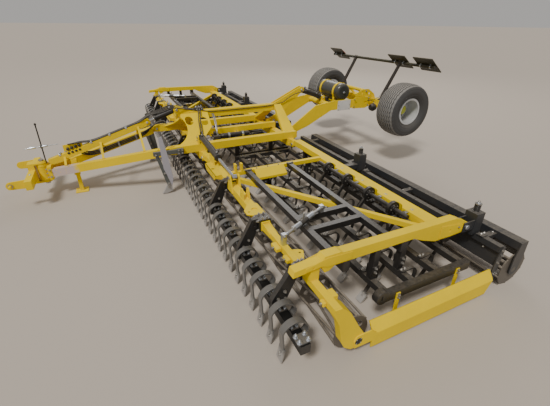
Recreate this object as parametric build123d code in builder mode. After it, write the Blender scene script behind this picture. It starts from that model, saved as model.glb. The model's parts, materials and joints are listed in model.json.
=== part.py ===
from build123d import *
from math import cos, hypot, pi, sin, sqrt
import os

# Seedbed compactor, unfolded as it stands on its rollers. Millimetres.
# X points forward to the hitch, Y to the machine's left, Z up. The floor is z = 0.

os.makedirs("parts", exist_ok=True)

# Fits
PIN_FIT = 0.05
FACE_GAP = 0.3

# Working width and main lateral beams
SIDE_Y = 4150
FRONT_BEAM_X = 650
REAR_BEAM_X = -830
BEAM_W = 120
BEAM_H = 120
BEAM_TOP = 600
WALL = 12

# Wing fold
FOLD_Y = 860
FOLD_Z = 520
FOLD_PIN_R = 22
FOLD_EYE_R = 48
FOLD_LUG_T = 70
WING_START = 915

# Centre frame
SIDE_BEAM_Y = 640
SIDE_BEAM_W = 100
SIDE_BEAM_H = 110
SIDE_BEAM_Z = 560
SIDE_BEAM_REAR = -940
SIDE_BEAM_FRONT = 1040
CROSS_END = 700
SPINE_W = 110
SPINE_H = 110
SPINE_TOP = 1000
SPINE_REAR = -950
SPINE_FRONT = 800
TUBE_Z = 632
TUBE_SIZE = 90
GUSSET_T = 14
GUSSET_REAR = 370
# Holes in each sloping plate: x, distance down the slope
GUSSET_HOLES = ((705, 155), (480, 195))
GUSSET_HOLE_W = 115
GUSSET_HOLE_L = 175

# Drawbar
BAR_HINGE_X = 1120
BAR_HINGE_Z = 615
BAR_PIN_R = 20
BAR_EYE_R = 50
BAR_HEAD_X = 2670
BAR_HEAD_Y = 95
BAR_HEAD_Z = 350
BAR_W = 90
BAR_H = 110
STRUT_PIN_X = 1310
STRUT_PIN_Z = 900
STRUT_W = 84
TOP_PIN_X = 850
TOP_PIN_Z = 1050

# Hitch
SWIVEL_X = 2800
SWIVEL_R = 75
SWIVEL_PIN_R = 30
SWIVEL_LOW = 230
SWIVEL_HIGH = 470
YOKE_Y = 485
YOKE_REAR = 2890
YOKE_FRONT = 2970
LINK_X = 3140
LINK_Z = 350
LINK_PIN_R = 18.3
LINK_EYE_R = 52
PIN_ROOT_Y = 405
CHEEK_T = 20

# Parking stand
STAND_X = 2395
STAND_TUBE = 50
STAND_FOOT = 170
STAND_FOOT_T = 12

# Looped spring tines on a tube ahead of the front beam
LOOP_TUBE_X = 867
LOOP_TUBE_Z = 260
LOOP_TUBE = 80
LOOP_TUBE_IN = 450
LOOP_TUBE_OUT = 4100
LOOP_PITCH = 190
LOOP_FIRST_Y = 510
LOOP_END = 170
LOOP_COUNT = (LOOP_TUBE_OUT - LOOP_END - LOOP_FIRST_Y) // LOOP_PITCH + 1
LOOP_W = 60
LOOP_T = 12
BLADE_W = 80

# Rollers
SLANT_X = 430
SLANT_OD = 330
SLANT_BARS = 8
SLANT_BAR_R = 11
SLANT_TURN = 25
SLANT_SHAFT_R = 24
SLANT_DISC_T = 12
SLANT_BEARING_R = 55
REAR_ROLLER_X = -1420
REAR_ROLLER_OD = 380
REAR_SHAFT_R = 30
BAR_COUNT = 10
REAR_FRAME_IN = 480
REAR_FRAME_OUT = 4150
BOARD_OUT = 4095
BEARING_R = 62

# Tines
TINE_ROWS = (50, -250, -550, -850)
TINE_BAR = 60
TINE_BAR_Z = 300
TINE_PITCH = 300
TINE_W = 32
TINE_T = 12
TINE_TIP_Z = 6
TINE_FRAME_IN = 640
TINE_FRAME_OUT = 3960

# Wing frame
STOUT_HALF = 45
SLIM_START = 2960
SLIM_HALF = 30
SLIM_Z = (520, 580)
OUTER_BEAM_Y = 3790
OUTER_BEAM_W = 80
OUTER_Z = (670, 765)
RAIL_Y = 1730
RAIL_W = 60
UPPER_TUBE = 60
UPPER_TUBE_Z = 560

# Axle
AXLE_HINGE_X = -1010
AXLE_HINGE_Z = 600
AXLE_PIN_R = 25
ARM_Y = 390
ARM_T = 24
WHEEL_X = -2755
WHEEL_Z = 950
TRACK = 2300
TYRE_OD = 874
TYRE_W = 404
RIM_R = 197
STUB_R = 40
LIFT_PIN_X = -1370
LIFT_PIN_Z = 1200
LIFT_EAR_X = -1850
LIFT_EAR_Z = 1030
LIFT_PIN_R = 20
TANK_X = LIFT_EAR_X - 240
TANK_Z = 1150
TANK_R = 148
TANK_LEN = 680
POST_Y = TRACK / 2 - 530
BAR_POST_X = -3050
BAR_POST_Z = 1640

# Fold cylinders
FOLD_BASE_Y = 640
FOLD_BASE_Z = 760
FOLD_TIP_Y = 2080
FOLD_TIP_Z = 700
TIP_FOOT = 78
CYL_PIN_R = 16


def block(x, y, z, mode=Mode.ADD):
    """A box that spans three (low, high) ranges, in the part being made."""
    size = (x[1] - x[0], y[1] - y[0], z[1] - z[0])
    centre = ((x[0] + x[1]) / 2, (y[0] + y[1]) / 2, (z[0] + z[1]) / 2)
    with Locations(centre):
        Box(*size, mode=mode)


def side_plane(y):
    """Plane for a side view: its own x is X, its own y is Z, and it faces -Y."""
    return Plane(origin=(0, y, 0), x_dir=(1, 0, 0), z_dir=(0, -1, 0))


def side_plate(points, y, mode=Mode.ADD):
    """Extrude an (x, z) outline over the range y."""
    with BuildSketch(side_plane(y[1])) as outline:
        Polygon(*points, align=None)
    extrude(outline.sketch, amount=y[1] - y[0], mode=mode)


def front_plate(points, x, mode=Mode.ADD):
    """Extrude a (y, z) outline over the range x."""
    with BuildSketch(Plane.YZ.offset(x[0])) as outline:
        Polygon(*points, align=None)
    extrude(outline.sketch, amount=x[1] - x[0], mode=mode)


def flat_plate(points, z, mode=Mode.ADD):
    """Extrude an (x, y) outline over the range z."""
    with BuildSketch(Plane.XY.offset(z[0])) as outline:
        Polygon(*points, align=None)
    extrude(outline.sketch, amount=z[1] - z[0], mode=mode)


def rod(start, end, radius, mode=Mode.ADD):
    """A round bar between two points."""
    run = Vector(*end) - Vector(*start)
    with BuildSketch(Plane(origin=start, z_dir=run)) as outline:
        Circle(radius)
    extrude(outline.sketch, amount=run.length, mode=mode)


def bar(start, end, across, high, mode=Mode.ADD):
    """A square-edged bar between two points, across its run and up."""
    run = Vector(*end) - Vector(*start)
    flat = Vector(run.Y, -run.X, 0)
    with BuildSketch(Plane(origin=start, x_dir=flat, z_dir=run)) as outline:
        Rectangle(across, high)
    extrude(outline.sketch, amount=run.length, mode=mode)


def eye_y(x, z, y, radius, mode=Mode.ADD):
    """A disc or bore along Y over the range y."""
    rod((x, y[0], z), (x, y[1], z), radius, mode)


def eye_x(y, z, x, radius, mode=Mode.ADD):
    """A disc or bore along X over the range x."""
    rod((x[0], y, z), (x[1], y, z), radius, mode)


def write(piece, name):
    """Label one finished piece and write its file."""
    piece.label = name
    export_step(piece, "parts/" + name + ".step")


def write_pair(piece, name):
    """Write a left piece and its mirror image on the right."""
    write(piece, name + "_left")
    with BuildPart() as other:
        mirror(piece, about=Plane.XZ)
    write(other.part, name + "_right")


def make_cylinder(name, base, tip, pin_axis, barrel_r, rod_r, eye_t, bores, **along):
    """A hydraulic cylinder from its base pin to its rod pin, with two eyes.

    Distances from the base pin: neck is where the barrel starts, bore where its bore
    starts, rod where the rod starts, end where the barrel ends.
    """
    run = Vector(*tip) - Vector(*base)
    place = Plane(origin=base, x_dir=pin_axis, z_dir=run)
    eye_r = barrel_r * 0.85
    upward = (Align.CENTER, Align.CENTER, Align.MIN)
    with BuildPart(place) as barrel:
        with Locations((0, 0, along["neck"])):
            Cylinder(barrel_r, along["end"] - along["neck"], align=upward)
        with Locations((0, 0, along["end"] - barrel_r * 0.8)):
            Cylinder(barrel_r + 6, barrel_r * 0.8, align=upward)
        Box(eye_t, eye_r * 1.4, along["neck"] + 4, align=upward)
        Cylinder(eye_r, eye_t, rotation=(0, 90, 0))
        Cylinder(bores[0], eye_t * 2, rotation=(0, 90, 0), mode=Mode.SUBTRACT)
        with Locations((0, 0, along["bore"])):
            Cylinder(rod_r + PIN_FIT, along["end"], align=upward, mode=Mode.SUBTRACT)
    write(barrel.part, name + "_barrel")
    with BuildPart(place) as piston:
        with Locations((0, 0, along["rod"])):
            Cylinder(rod_r, run.length - along["rod"], align=upward)
        with Locations((0, 0, run.length)):
            Cylinder(rod_r * 1.7, eye_t, rotation=(0, 90, 0))
            Cylinder(bores[1], eye_t * 2, rotation=(0, 90, 0), mode=Mode.SUBTRACT)
    write(piston.part, name + "_rod")
    return barrel.part, piston.part


# Centre frame
HALF_W = BEAM_W / 2
CROSS_TOP = SIDE_BEAM_Z
CROSS_LOW = CROSS_TOP - 110
SIDE_IN = SIDE_BEAM_Y - SIDE_BEAM_W / 2
SIDE_OUT = SIDE_BEAM_Y + SIDE_BEAM_W / 2
SIDE_TOP = SIDE_BEAM_Z + SIDE_BEAM_H
SPINE_LOW = SPINE_TOP - SPINE_H
HALF_SPINE = SPINE_W / 2
HINGE_AXES = (FRONT_BEAM_X, REAR_BEAM_X)


def cross_beam(name, x, z_low):
    """A lateral beam of the centre frame with a hinge lug and pin at each end."""
    span = (x - HALF_W, x + HALF_W)
    with BuildPart() as beam:
        block(span, (-CROSS_END, CROSS_END), (z_low, CROSS_TOP))
        for side in (-1, 1):
            lug = (x - FOLD_LUG_T / 2, x + FOLD_LUG_T / 2)
            outline = [
                (side * CROSS_END, z_low),
                (side * CROSS_END, CROSS_TOP),
                (side * FOLD_Y, FOLD_Z + FOLD_EYE_R),
                (side * FOLD_Y, FOLD_Z - FOLD_EYE_R),
            ]
            front_plate(outline, lug)
            eye_x(side * FOLD_Y, FOLD_Z, lug, FOLD_EYE_R)
            eye_x(side * FOLD_Y, FOLD_Z, span, FOLD_PIN_R)
        if x < 0:
            for y in (-ARM_Y, ARM_Y):
                for off in (-ARM_T / 2 - 8 - WALL * 1.5, ARM_T / 2 + 8):
                    cheek = (y + off, y + off + WALL * 1.5)
                    side_plate(
                        [
                            (x - HALF_W + 10, CROSS_LOW),
                            (x - HALF_W + 10, CROSS_TOP + 60),
                            (AXLE_HINGE_X, AXLE_HINGE_Z + 55),
                            (AXLE_HINGE_X, AXLE_HINGE_Z - 55),
                        ],
                        cheek,
                    )
                    eye_y(AXLE_HINGE_X, AXLE_HINGE_Z, cheek, 55)
                pin_half = ARM_T / 2 + 8 + WALL * 1.5
                eye_y(AXLE_HINGE_X, AXLE_HINGE_Z, (y - pin_half, y + pin_half), AXLE_PIN_R)
    write(beam.part, name)


cross_beam("centre_cross_front", FRONT_BEAM_X, CROSS_LOW)
cross_beam("centre_cross_rear", REAR_BEAM_X, CROSS_LOW)

# Side beams, each with the fold cylinder's base lugs and the drawbar's hinge fork
with BuildPart() as side_beam:
    block((SIDE_BEAM_REAR, SIDE_BEAM_FRONT), (SIDE_IN, SIDE_OUT), (SIDE_BEAM_Z, SIDE_TOP))
    for cheek in ((SIDE_IN, SIDE_IN + CHEEK_T), (SIDE_OUT - CHEEK_T, SIDE_OUT)):
        side_plate(
            [
                (SIDE_BEAM_FRONT, SIDE_BEAM_Z),
                (SIDE_BEAM_FRONT, SIDE_TOP),
                (BAR_HINGE_X, BAR_HINGE_Z + BAR_EYE_R),
                (BAR_HINGE_X, BAR_HINGE_Z - BAR_EYE_R),
            ],
            cheek,
        )
        eye_y(BAR_HINGE_X, BAR_HINGE_Z, cheek, BAR_EYE_R)
    eye_y(BAR_HINGE_X, BAR_HINGE_Z, (SIDE_IN, SIDE_OUT), BAR_PIN_R)
    for x in (FRONT_BEAM_X - 55, FRONT_BEAM_X + 35):
        front_plate(
            [
                (SIDE_IN + 5, SIDE_TOP),
                (FOLD_BASE_Y - 36, FOLD_BASE_Z),
                (FOLD_BASE_Y + 36, FOLD_BASE_Z),
                (SIDE_OUT - 5, SIDE_TOP),
            ],
            (x, x + CHEEK_T),
        )
        eye_x(FOLD_BASE_Y, FOLD_BASE_Z, (x, x + CHEEK_T), 36)
    eye_x(FOLD_BASE_Y, FOLD_BASE_Z, (FRONT_BEAM_X - 55, FRONT_BEAM_X + 55), CYL_PIN_R)
write_pair(side_beam.part, "centre_side_beam")

# Spine with a pair of lug plates at each end
SPINE_CHEEK = 30
with BuildPart() as spine:
    block((SPINE_REAR, SPINE_FRONT), (-HALF_SPINE, HALF_SPINE), (SPINE_LOW, SPINE_TOP))
    for side in (-1, 1):
        cheek = sorted((side * SPINE_CHEEK, side * (SPINE_CHEEK + CHEEK_T)))
        side_plate(
            [
                (SPINE_FRONT - 220, SPINE_TOP),
                (TOP_PIN_X - 40, TOP_PIN_Z + 40),
                (TOP_PIN_X + 48, TOP_PIN_Z),
                (SPINE_FRONT, SPINE_LOW),
                (SPINE_FRONT - 40, SPINE_LOW),
            ],
            cheek,
        )
        eye_y(TOP_PIN_X, TOP_PIN_Z, cheek, 50)
        side_plate(
            [
                (SPINE_REAR + 60, SPINE_LOW),
                (SPINE_REAR + 150, SPINE_TOP),
                (LIFT_PIN_X + 30, LIFT_PIN_Z + 48),
                (LIFT_PIN_X - 50, LIFT_PIN_Z),
                (LIFT_PIN_X + 30, LIFT_PIN_Z - 70),
                (SPINE_REAR - 30, SPINE_LOW - 60),
            ],
            cheek,
        )
        eye_y(LIFT_PIN_X, LIFT_PIN_Z, cheek, 55)
    for x, z in ((TOP_PIN_X, TOP_PIN_Z), (LIFT_PIN_X, LIFT_PIN_Z)):
        reach = SPINE_CHEEK + CHEEK_T
        eye_y(x, z, (-reach, reach), LIFT_PIN_R)
write(spine.part, "centre_spine")

# Sloping web plates from the spine down to the side beams
SLOPE_TOP = (HALF_SPINE, SPINE_TOP - 25)
SLOPE_LOW = (SIDE_IN, SIDE_TOP - 25)
SLOPE_RUN = hypot(SLOPE_LOW[0] - SLOPE_TOP[0], SLOPE_LOW[1] - SLOPE_TOP[1])
with BuildPart() as gussets:
    for side in (-1, 1):
        top = Vector(0, side * SLOPE_TOP[0], SLOPE_TOP[1])
        low = Vector(0, side * SLOPE_LOW[0], SLOPE_LOW[1])
        roof = Plane(origin=top, x_dir=(1, 0, 0), z_dir=(low - top).cross(Vector(1, 0, 0)) * -1)
        down = -1 if roof.y_dir.Z > 0 else 1
        with BuildSketch(roof):
            with BuildLine():
                Polyline(
                    (GUSSET_REAR, 0),
                    (SPINE_FRONT, 0),
                    (SPINE_FRONT + 20, down * 60),
                )
                ThreePointArc(
                    (SPINE_FRONT + 20, down * 60),
                    (SPINE_FRONT - 30, down * SLOPE_RUN * 0.5),
                    (SIDE_BEAM_FRONT - 40, down * SLOPE_RUN),
                )
                Polyline(
                    (SIDE_BEAM_FRONT - 40, down * SLOPE_RUN),
                    (FRONT_BEAM_X - 110, down * SLOPE_RUN),
                    (FRONT_BEAM_X - 110, down * SLOPE_RUN * 0.8),
                    (GUSSET_REAR + 20, down * SLOPE_RUN * 0.52),
                    (GUSSET_REAR, 0),
                )
            make_face()
            for x, fall in GUSSET_HOLES:
                with Locations((x, down * fall)):
                    SlotOverall(GUSSET_HOLE_L, GUSSET_HOLE_W, rotation=90, mode=Mode.SUBTRACT)
        extrude(amount=GUSSET_T / 2, both=True)
        with BuildSketch(roof):
            Polygon(
                (SPINE_REAR, 0),
                (SPINE_REAR + 130, 0),
                (REAR_BEAM_X + HALF_W + 40, down * SLOPE_RUN),
                (SIDE_BEAM_REAR, down * SLOPE_RUN),
                align=None,
            )
        extrude(amount=25, both=True)
        beam_y = sorted((side * SIDE_IN, side * SIDE_OUT))
        block((SIDE_BEAM_REAR, SIDE_BEAM_FRONT), beam_y, (SIDE_BEAM_Z, SIDE_TOP), Mode.SUBTRACT)
    spine_y = (-HALF_SPINE, HALF_SPINE)
    block((SPINE_REAR, SPINE_FRONT), spine_y, (SPINE_LOW, SPINE_TOP), Mode.SUBTRACT)
write(gussets.part, "centre_gussets")

# Lower centre tube between the two cross beams, raised on two saddles
with BuildPart() as centre_tube:
    tube_low = TUBE_Z - TUBE_SIZE / 2
    block(
        (REAR_BEAM_X - 30, FRONT_BEAM_X + 30),
        (-TUBE_SIZE / 2, TUBE_SIZE / 2),
        (tube_low, tube_low + TUBE_SIZE),
    )
    for x in HINGE_AXES:
        block((x - 30, x + 30), (-TUBE_SIZE / 2, TUBE_SIZE / 2), (CROSS_TOP, tube_low + 10))
write(centre_tube.part, "centre_lower_tube")


# Looped spring tines: a flat spring from under the tube, round its rear and over it
def make_loop():
    """One looped spring with its blade, for a tube centred on x = 0, z = 0, y = 0."""
    under = -LOOP_TUBE / 2 - LOOP_T / 2 + 1
    with BuildPart() as loop:
        with BuildSketch(side_plane(LOOP_W / 2)):
            with BuildLine():
                Line((30, under), (-45, under))
                ThreePointArc((-45, under), (-98, -18), (-106, 30))
                ThreePointArc((-106, 30), (0, 112), (104, 36))
                Line((104, 36), (92, -150))
            trace(line_width=LOOP_T)
        extrude(amount=LOOP_W)
        side_plate([(84, -120), (98, -120), (122, -244), (112, -252)], (-BLADE_W / 2, BLADE_W / 2))
    return loop.part


def loop_row(tube_y, loop_ys, loop):
    """A square tube with looped springs; tube_y is its (low, high) y range."""
    half = LOOP_TUBE / 2
    tube_x = (LOOP_TUBE_X - half, LOOP_TUBE_X + half)
    block(tube_x, tube_y, (LOOP_TUBE_Z - half, LOOP_TUBE_Z + half))
    with Locations(*[(LOOP_TUBE_X, y, LOOP_TUBE_Z) for y in loop_ys]):
        add(loop)


def loop_arm(y, half_beam, beam_low, beam_top):
    """A broad arm from the beam's front forward and down to the tube of the springs."""
    front = FRONT_BEAM_X + half_beam
    half = LOOP_TUBE / 2
    low, high = LOOP_TUBE_Z - half, LOOP_TUBE_Z + half
    rear, nose = LOOP_TUBE_X - half, LOOP_TUBE_X + half
    side_plate(
        [
            (front, beam_low),
            (front, beam_top),
            (front + 75, beam_top),
            (nose + 16, high + 40),
            (nose + 16, low - 14),
            (rear - 16, low - 14),
            (rear - 30, high + 10),
            (front + 30, beam_low),
        ],
        (y - 25, y + 25),
    )
    side_plate(
        [(rear, low), (rear, high), (nose, high), (nose, low)],
        (y - 25, y + 25),
        Mode.SUBTRACT,
    )


def roller_hanger(y, thick, half_beam, beam_low):
    """A plate hung under the front beam that reaches back to the slanting-bar roller."""
    cheek = (y - thick / 2, y + thick / 2)
    axle_z = SLANT_OD / 2
    side_plate(
        [
            (FRONT_BEAM_X + half_beam - 10, beam_low),
            (FRONT_BEAM_X - half_beam, beam_low),
            (SLANT_X - 40, axle_z + 60),
            (SLANT_X - SLANT_BEARING_R, axle_z),
            (SLANT_X + SLANT_BEARING_R, axle_z),
            (SLANT_X + 90, axle_z + 90),
        ],
        cheek,
    )
    eye_y(SLANT_X, axle_z, cheek, SLANT_BEARING_R)
    bore_y = (cheek[0] - 5, cheek[1] + 5)
    eye_y(SLANT_X, axle_z, bore_y, SLANT_SHAFT_R + PIN_FIT, Mode.SUBTRACT)


def slant_roller(sections, shaft):
    """Slanting bars on discs; sections hold (low y, high y, fields between discs)."""
    axle_z = SLANT_OD / 2
    circle = axle_z - SLANT_BAR_R
    with BuildPart() as roller:
        eye_y(SLANT_X, axle_z, shaft, SLANT_SHAFT_R)
        for low, high, fields in sections:
            step = (high - low - SLANT_DISC_T) / fields
            for field in range(fields + 1):
                with BuildSketch(side_plane(low + field * step + SLANT_DISC_T)) as disc:
                    with Locations((SLANT_X, axle_z)):
                        Circle(circle + 3)
                        with PolarLocations(circle * 0.6, 5):
                            Circle(circle * 0.19, mode=Mode.SUBTRACT)
                extrude(disc.sketch, amount=SLANT_DISC_T)
            for field in range(fields):
                near = low + field * step + SLANT_DISC_T / 2
                for index in range(SLANT_BARS):
                    turn = (index * 360 / SLANT_BARS + field * SLANT_TURN) * pi / 180
                    after = turn + SLANT_TURN * pi / 180
                    start = (SLANT_X + circle * cos(turn), near, axle_z + circle * sin(turn))
                    end = (SLANT_X + circle * cos(after), near + step, axle_z + circle * sin(after))
                    rod(start, end, SLANT_BAR_R)
    return roller.part


# A wing's front roller runs in a hanger near the fold and in the beam's end plate
HANGER_T = 24
HANGER_Y = WING_START + 30
PLATE_Y = (SIDE_Y - 24, SIDE_Y - 10)
SLANT_ENDS = (LOOP_TUBE_IN + 35, PLATE_Y[0] - 70)
SLANT_GAP = 10
slant_sections = (
    (SLANT_ENDS[0], HANGER_Y - HANGER_T / 2 - SLANT_GAP, 1),
    (HANGER_Y + HANGER_T / 2 + SLANT_GAP, SLANT_ENDS[1], 6),
)
write_pair(slant_roller(slant_sections, (SLANT_ENDS[0] - 5, PLATE_Y[1])), "front_roller")

CENTRE_ROLLER_Y = 360
centre_hanger_y = CENTRE_ROLLER_Y + SLANT_GAP + HANGER_T / 2
centre_shaft = centre_hanger_y + HANGER_T / 2
centre_sections = ((-CENTRE_ROLLER_Y, CENTRE_ROLLER_Y, 2),)
write(slant_roller(centre_sections, (-centre_shaft, centre_shaft)), "centre_roller")

# Front tools of the centre: hangers of its roller, two arms, and a tube with four springs
LOOP = make_loop()
CENTRE_TUBE_Y = 345
with BuildPart() as centre_front_tools:
    for y in (-centre_hanger_y, centre_hanger_y):
        roller_hanger(y, HANGER_T, HALF_W, CROSS_LOW)
    loop_row((-CENTRE_TUBE_Y, CENTRE_TUBE_Y), [(k - 1.5) * LOOP_PITCH for k in range(4)], LOOP)
    for y in (-LOOP_PITCH, LOOP_PITCH):
        loop_arm(y, HALF_W, CROSS_LOW, CROSS_TOP)
write(centre_front_tools.part, "centre_front_tools")

# Front tools of a wing: arms clamped on the beam, and the hanger of the front roller
STOUT_LOW = BEAM_TOP - 2 * STOUT_HALF
# Arms: the gap between springs each one stands in, and the beam's section there
ARMS = (
    (7, STOUT_HALF, (STOUT_LOW, BEAM_TOP)),
    (12, STOUT_HALF, (STOUT_LOW, BEAM_TOP)),
    (LOOP_COUNT - 3, SLIM_HALF, SLIM_Z),
)
with BuildPart() as front_tools:
    roller_hanger(HANGER_Y, HANGER_T, STOUT_HALF, STOUT_LOW)
    for gap, half, (low, high) in ARMS:
        y = LOOP_FIRST_Y + (gap + 0.5) * LOOP_PITCH
        front = FRONT_BEAM_X + half
        clamp_y = (y - 60, y + 60)
        loop_arm(y, half, low - 20, high + 20)
        block((FRONT_BEAM_X - half - 15, front), clamp_y, (high, high + 20))
        block((front, front + 20), clamp_y, (low - 20, high + 20))
write_pair(front_tools.part, "wing_front_tools")

# Looped spring tines of a wing, with a clamp at the tube's outer end
with BuildPart() as level_tines:
    loop_places = [LOOP_FIRST_Y + k * LOOP_PITCH for k in range(LOOP_COUNT)]
    loop_row((LOOP_TUBE_IN, LOOP_TUBE_OUT), loop_places, LOOP)
    clamp_x = (LOOP_TUBE_X - 52, LOOP_TUBE_X + 52)
    clamp_z = LOOP_TUBE_Z + LOOP_TUBE / 2
    block(clamp_x, (LOOP_TUBE_OUT - 100, LOOP_TUBE_OUT - 10), (clamp_z, clamp_z + 14))
write_pair(level_tines.part, "wing_level_tines")

# Wing front beam: fork for the fold pin, box beam, and the deep end plate
CHEEK_X = ((-60, -FOLD_LUG_T / 2 - 3), (FOLD_LUG_T / 2 + 3, 60))


def wing_fork(x):
    """Two hinge cheeks of a wing's beam around the centre frame's lug."""
    for low, high in CHEEK_X:
        span = (x + low, x + high)
        front_plate(
            [
                (FOLD_Y, FOLD_Z - FOLD_EYE_R),
                (FOLD_Y, FOLD_Z + FOLD_EYE_R),
                (WING_START + 110, BEAM_TOP - 4),
                (WING_START + 110, BEAM_TOP - 76),
                (WING_START + 10, STOUT_LOW + 4),
            ],
            span,
        )
        eye_x(FOLD_Y, FOLD_Z, span, FOLD_EYE_R)
    eye_x(FOLD_Y, FOLD_Z, (x - 70, x + 70), FOLD_PIN_R + PIN_FIT, Mode.SUBTRACT)


with BuildPart() as wing_front:
    stout_x = (FRONT_BEAM_X - STOUT_HALF, FRONT_BEAM_X + STOUT_HALF)
    slim_x = (FRONT_BEAM_X - SLIM_HALF, FRONT_BEAM_X + SLIM_HALF)
    block(stout_x, (WING_START, SLIM_START), (STOUT_LOW, BEAM_TOP))
    block(slim_x, (SLIM_START, PLATE_Y[1]), SLIM_Z)
    for x in (slim_x[0] - 8, slim_x[1]):
        front_plate(
            [
                (SLIM_START, STOUT_LOW + 4),
                (SLIM_START, BEAM_TOP - 4),
                (SLIM_START + 170, SLIM_Z[1] - 8),
                (SLIM_START + 170, SLIM_Z[0] + 8),
            ],
            (x, x + 8),
        )
    axle_z = SLANT_OD / 2
    nose = [
        (slim_x[1], SLIM_Z[0]),
        (FRONT_BEAM_X - 19, 416),
        (FRONT_BEAM_X - 58, 226),
    ]
    side_plate(
        nose
        + [
            (SLANT_X + 125, 150),
            (SLANT_X + 60, axle_z - 68),
            (SLANT_X - 20, axle_z - 68),
            (SLANT_X - SLANT_BEARING_R, axle_z - 25),
            (SLANT_X - SLANT_BEARING_R, axle_z + 45),
            (SLANT_X + 10, 315),
            (FRONT_BEAM_X - 107, 505),
            (slim_x[0], SLIM_Z[1]),
            (slim_x[1], SLIM_Z[1]),
        ],
        PLATE_Y,
    )
    side_plate(nose + [(x - 14, z) for x, z in reversed(nose)], (PLATE_Y[0] - 50, PLATE_Y[0]))
    side_plate(
        [
            (slim_x[0] + 4, SLIM_Z[1]),
            (FRONT_BEAM_X - 107, 505),
            (FRONT_BEAM_X - 99, 496),
            (slim_x[0] + 4, SLIM_Z[1] - 14),
        ],
        (PLATE_Y[0] - 110, PLATE_Y[0]),
    )
    hub_y = (PLATE_Y[0] - 30, PLATE_Y[1])
    eye_y(SLANT_X, axle_z, hub_y, SLANT_BEARING_R)
    bore_y = (hub_y[0] - 5, hub_y[1] + 5)
    eye_y(SLANT_X, axle_z, bore_y, SLANT_SHAFT_R + PIN_FIT, Mode.SUBTRACT)
    wing_fork(FRONT_BEAM_X)
    for x in (FRONT_BEAM_X - 60, FRONT_BEAM_X + 40):
        front_plate(
            [
                (FOLD_TIP_Y - TIP_FOOT, STOUT_LOW + 25),
                (FOLD_TIP_Y - 34, FOLD_TIP_Z),
                (FOLD_TIP_Y + 34, FOLD_TIP_Z),
                (FOLD_TIP_Y + TIP_FOOT, STOUT_LOW + 25),
            ],
            (x, x + CHEEK_T),
        )
        eye_x(FOLD_TIP_Y, FOLD_TIP_Z, (x, x + CHEEK_T), 34)
write_pair(wing_front.part, "wing_front_beam")

# Wing rear beam: narrow near the fold, then a broad plate with scallops for the discs
DISC_Y = (2020, 2430, 2830, 3210)
DISC_R = 78
SHAFT_LINE_X = -690
with BuildPart() as wing_rear:
    flat_plate(
        [
            (REAR_BEAM_X - 60, WING_START),
            (REAR_BEAM_X + 60, WING_START),
            (REAR_BEAM_X + 60, 1650),
            (REAR_BEAM_X + 100, 1760),
            (REAR_BEAM_X + 100, OUTER_BEAM_Y - OUTER_BEAM_W / 2),
            (REAR_BEAM_X - 60, OUTER_BEAM_Y - OUTER_BEAM_W / 2),
        ],
        (BEAM_TOP - 80, BEAM_TOP),
    )
    with Locations(*[(SHAFT_LINE_X, y, BEAM_TOP) for y in DISC_Y]):
        Cylinder(DISC_R + 14, 3 * BEAM_H, mode=Mode.SUBTRACT)
    wing_fork(REAR_BEAM_X)
write_pair(wing_rear.part, "wing_rear_beam")

# Wing outer beam: its nose stands on the front beam, and it deepens to a lug at its rear
with BuildPart() as wing_outer:
    out = (OUTER_BEAM_Y - OUTER_BEAM_W / 2, OUTER_BEAM_Y + OUTER_BEAM_W / 2)
    low, high = OUTER_Z
    side_plate(
        [
            (835, low - 2),
            (825, low + 52),
            (600, low + 75),
            (575, high + 12),
            (440, high + 12),
            (410, high),
            (-820, high - 25),
            (-905, high - 65),
            (-985, BEAM_TOP + 55),
            (-985, BEAM_TOP - 35),
            (-800, BEAM_TOP - 45),
            (-600, BEAM_TOP - 40),
            (-440, low - 55),
            (-320, low),
            (480, low),
            (530, low - 35),
            (570, low - 40),
            (600, low + 18),
        ],
        out,
    )
    saddle_x = (FRONT_BEAM_X - SLIM_HALF - 8, FRONT_BEAM_X + SLIM_HALF + 8)
    block(saddle_x, (OUTER_BEAM_Y - 35, OUTER_BEAM_Y + 35), (SLIM_Z[1], low + 30))
    eye_y(-985, BEAM_TOP + 10, out, 45)
write_pair(wing_outer.part, "wing_outer_beam")

# Wing inner rail with its two uprights and the folded guard panel, and the diagonal
# brace that runs lower than the cross tubes over it
BRACE_FRONT_Y = 1650
BRACE_REAR_Y = 3604
BRACE_HALF = 45
GUARD_OUT = 140
with BuildPart() as wing_rail:
    rail_y = (RAIL_Y - RAIL_W / 2, RAIL_Y + RAIL_W / 2)
    block((REAR_BEAM_X + 100, FRONT_BEAM_X - STOUT_HALF), rail_y, (UPPER_TUBE_Z, UPPER_TUBE_Z + 50))
    for x in (420, 500):
        block((x, x + 22), rail_y, (UPPER_TUBE_Z, UPPER_TUBE_Z + 150))
    front_plate(
        [
            (RAIL_Y + RAIL_W / 2, UPPER_TUBE_Z + 50),
            (RAIL_Y + GUARD_OUT, UPPER_TUBE_Z - 30),
            (RAIL_Y + GUARD_OUT, UPPER_TUBE_Z - 60),
            (RAIL_Y + GUARD_OUT - 12, UPPER_TUBE_Z - 60),
            (RAIL_Y + GUARD_OUT - 12, UPPER_TUBE_Z - 36),
            (RAIL_Y + RAIL_W / 2, UPPER_TUBE_Z + 36),
        ],
        (-150, 270),
    )
    flat_plate(
        [
            (FRONT_BEAM_X - STOUT_HALF, BRACE_FRONT_Y - BRACE_HALF),
            (FRONT_BEAM_X - STOUT_HALF, BRACE_FRONT_Y + BRACE_HALF),
            (REAR_BEAM_X + 100, BRACE_REAR_Y + BRACE_HALF),
            (REAR_BEAM_X + 100, BRACE_REAR_Y - BRACE_HALF),
        ],
        (497, 552),
    )
write_pair(wing_rail.part, "wing_inner_rail")

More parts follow.
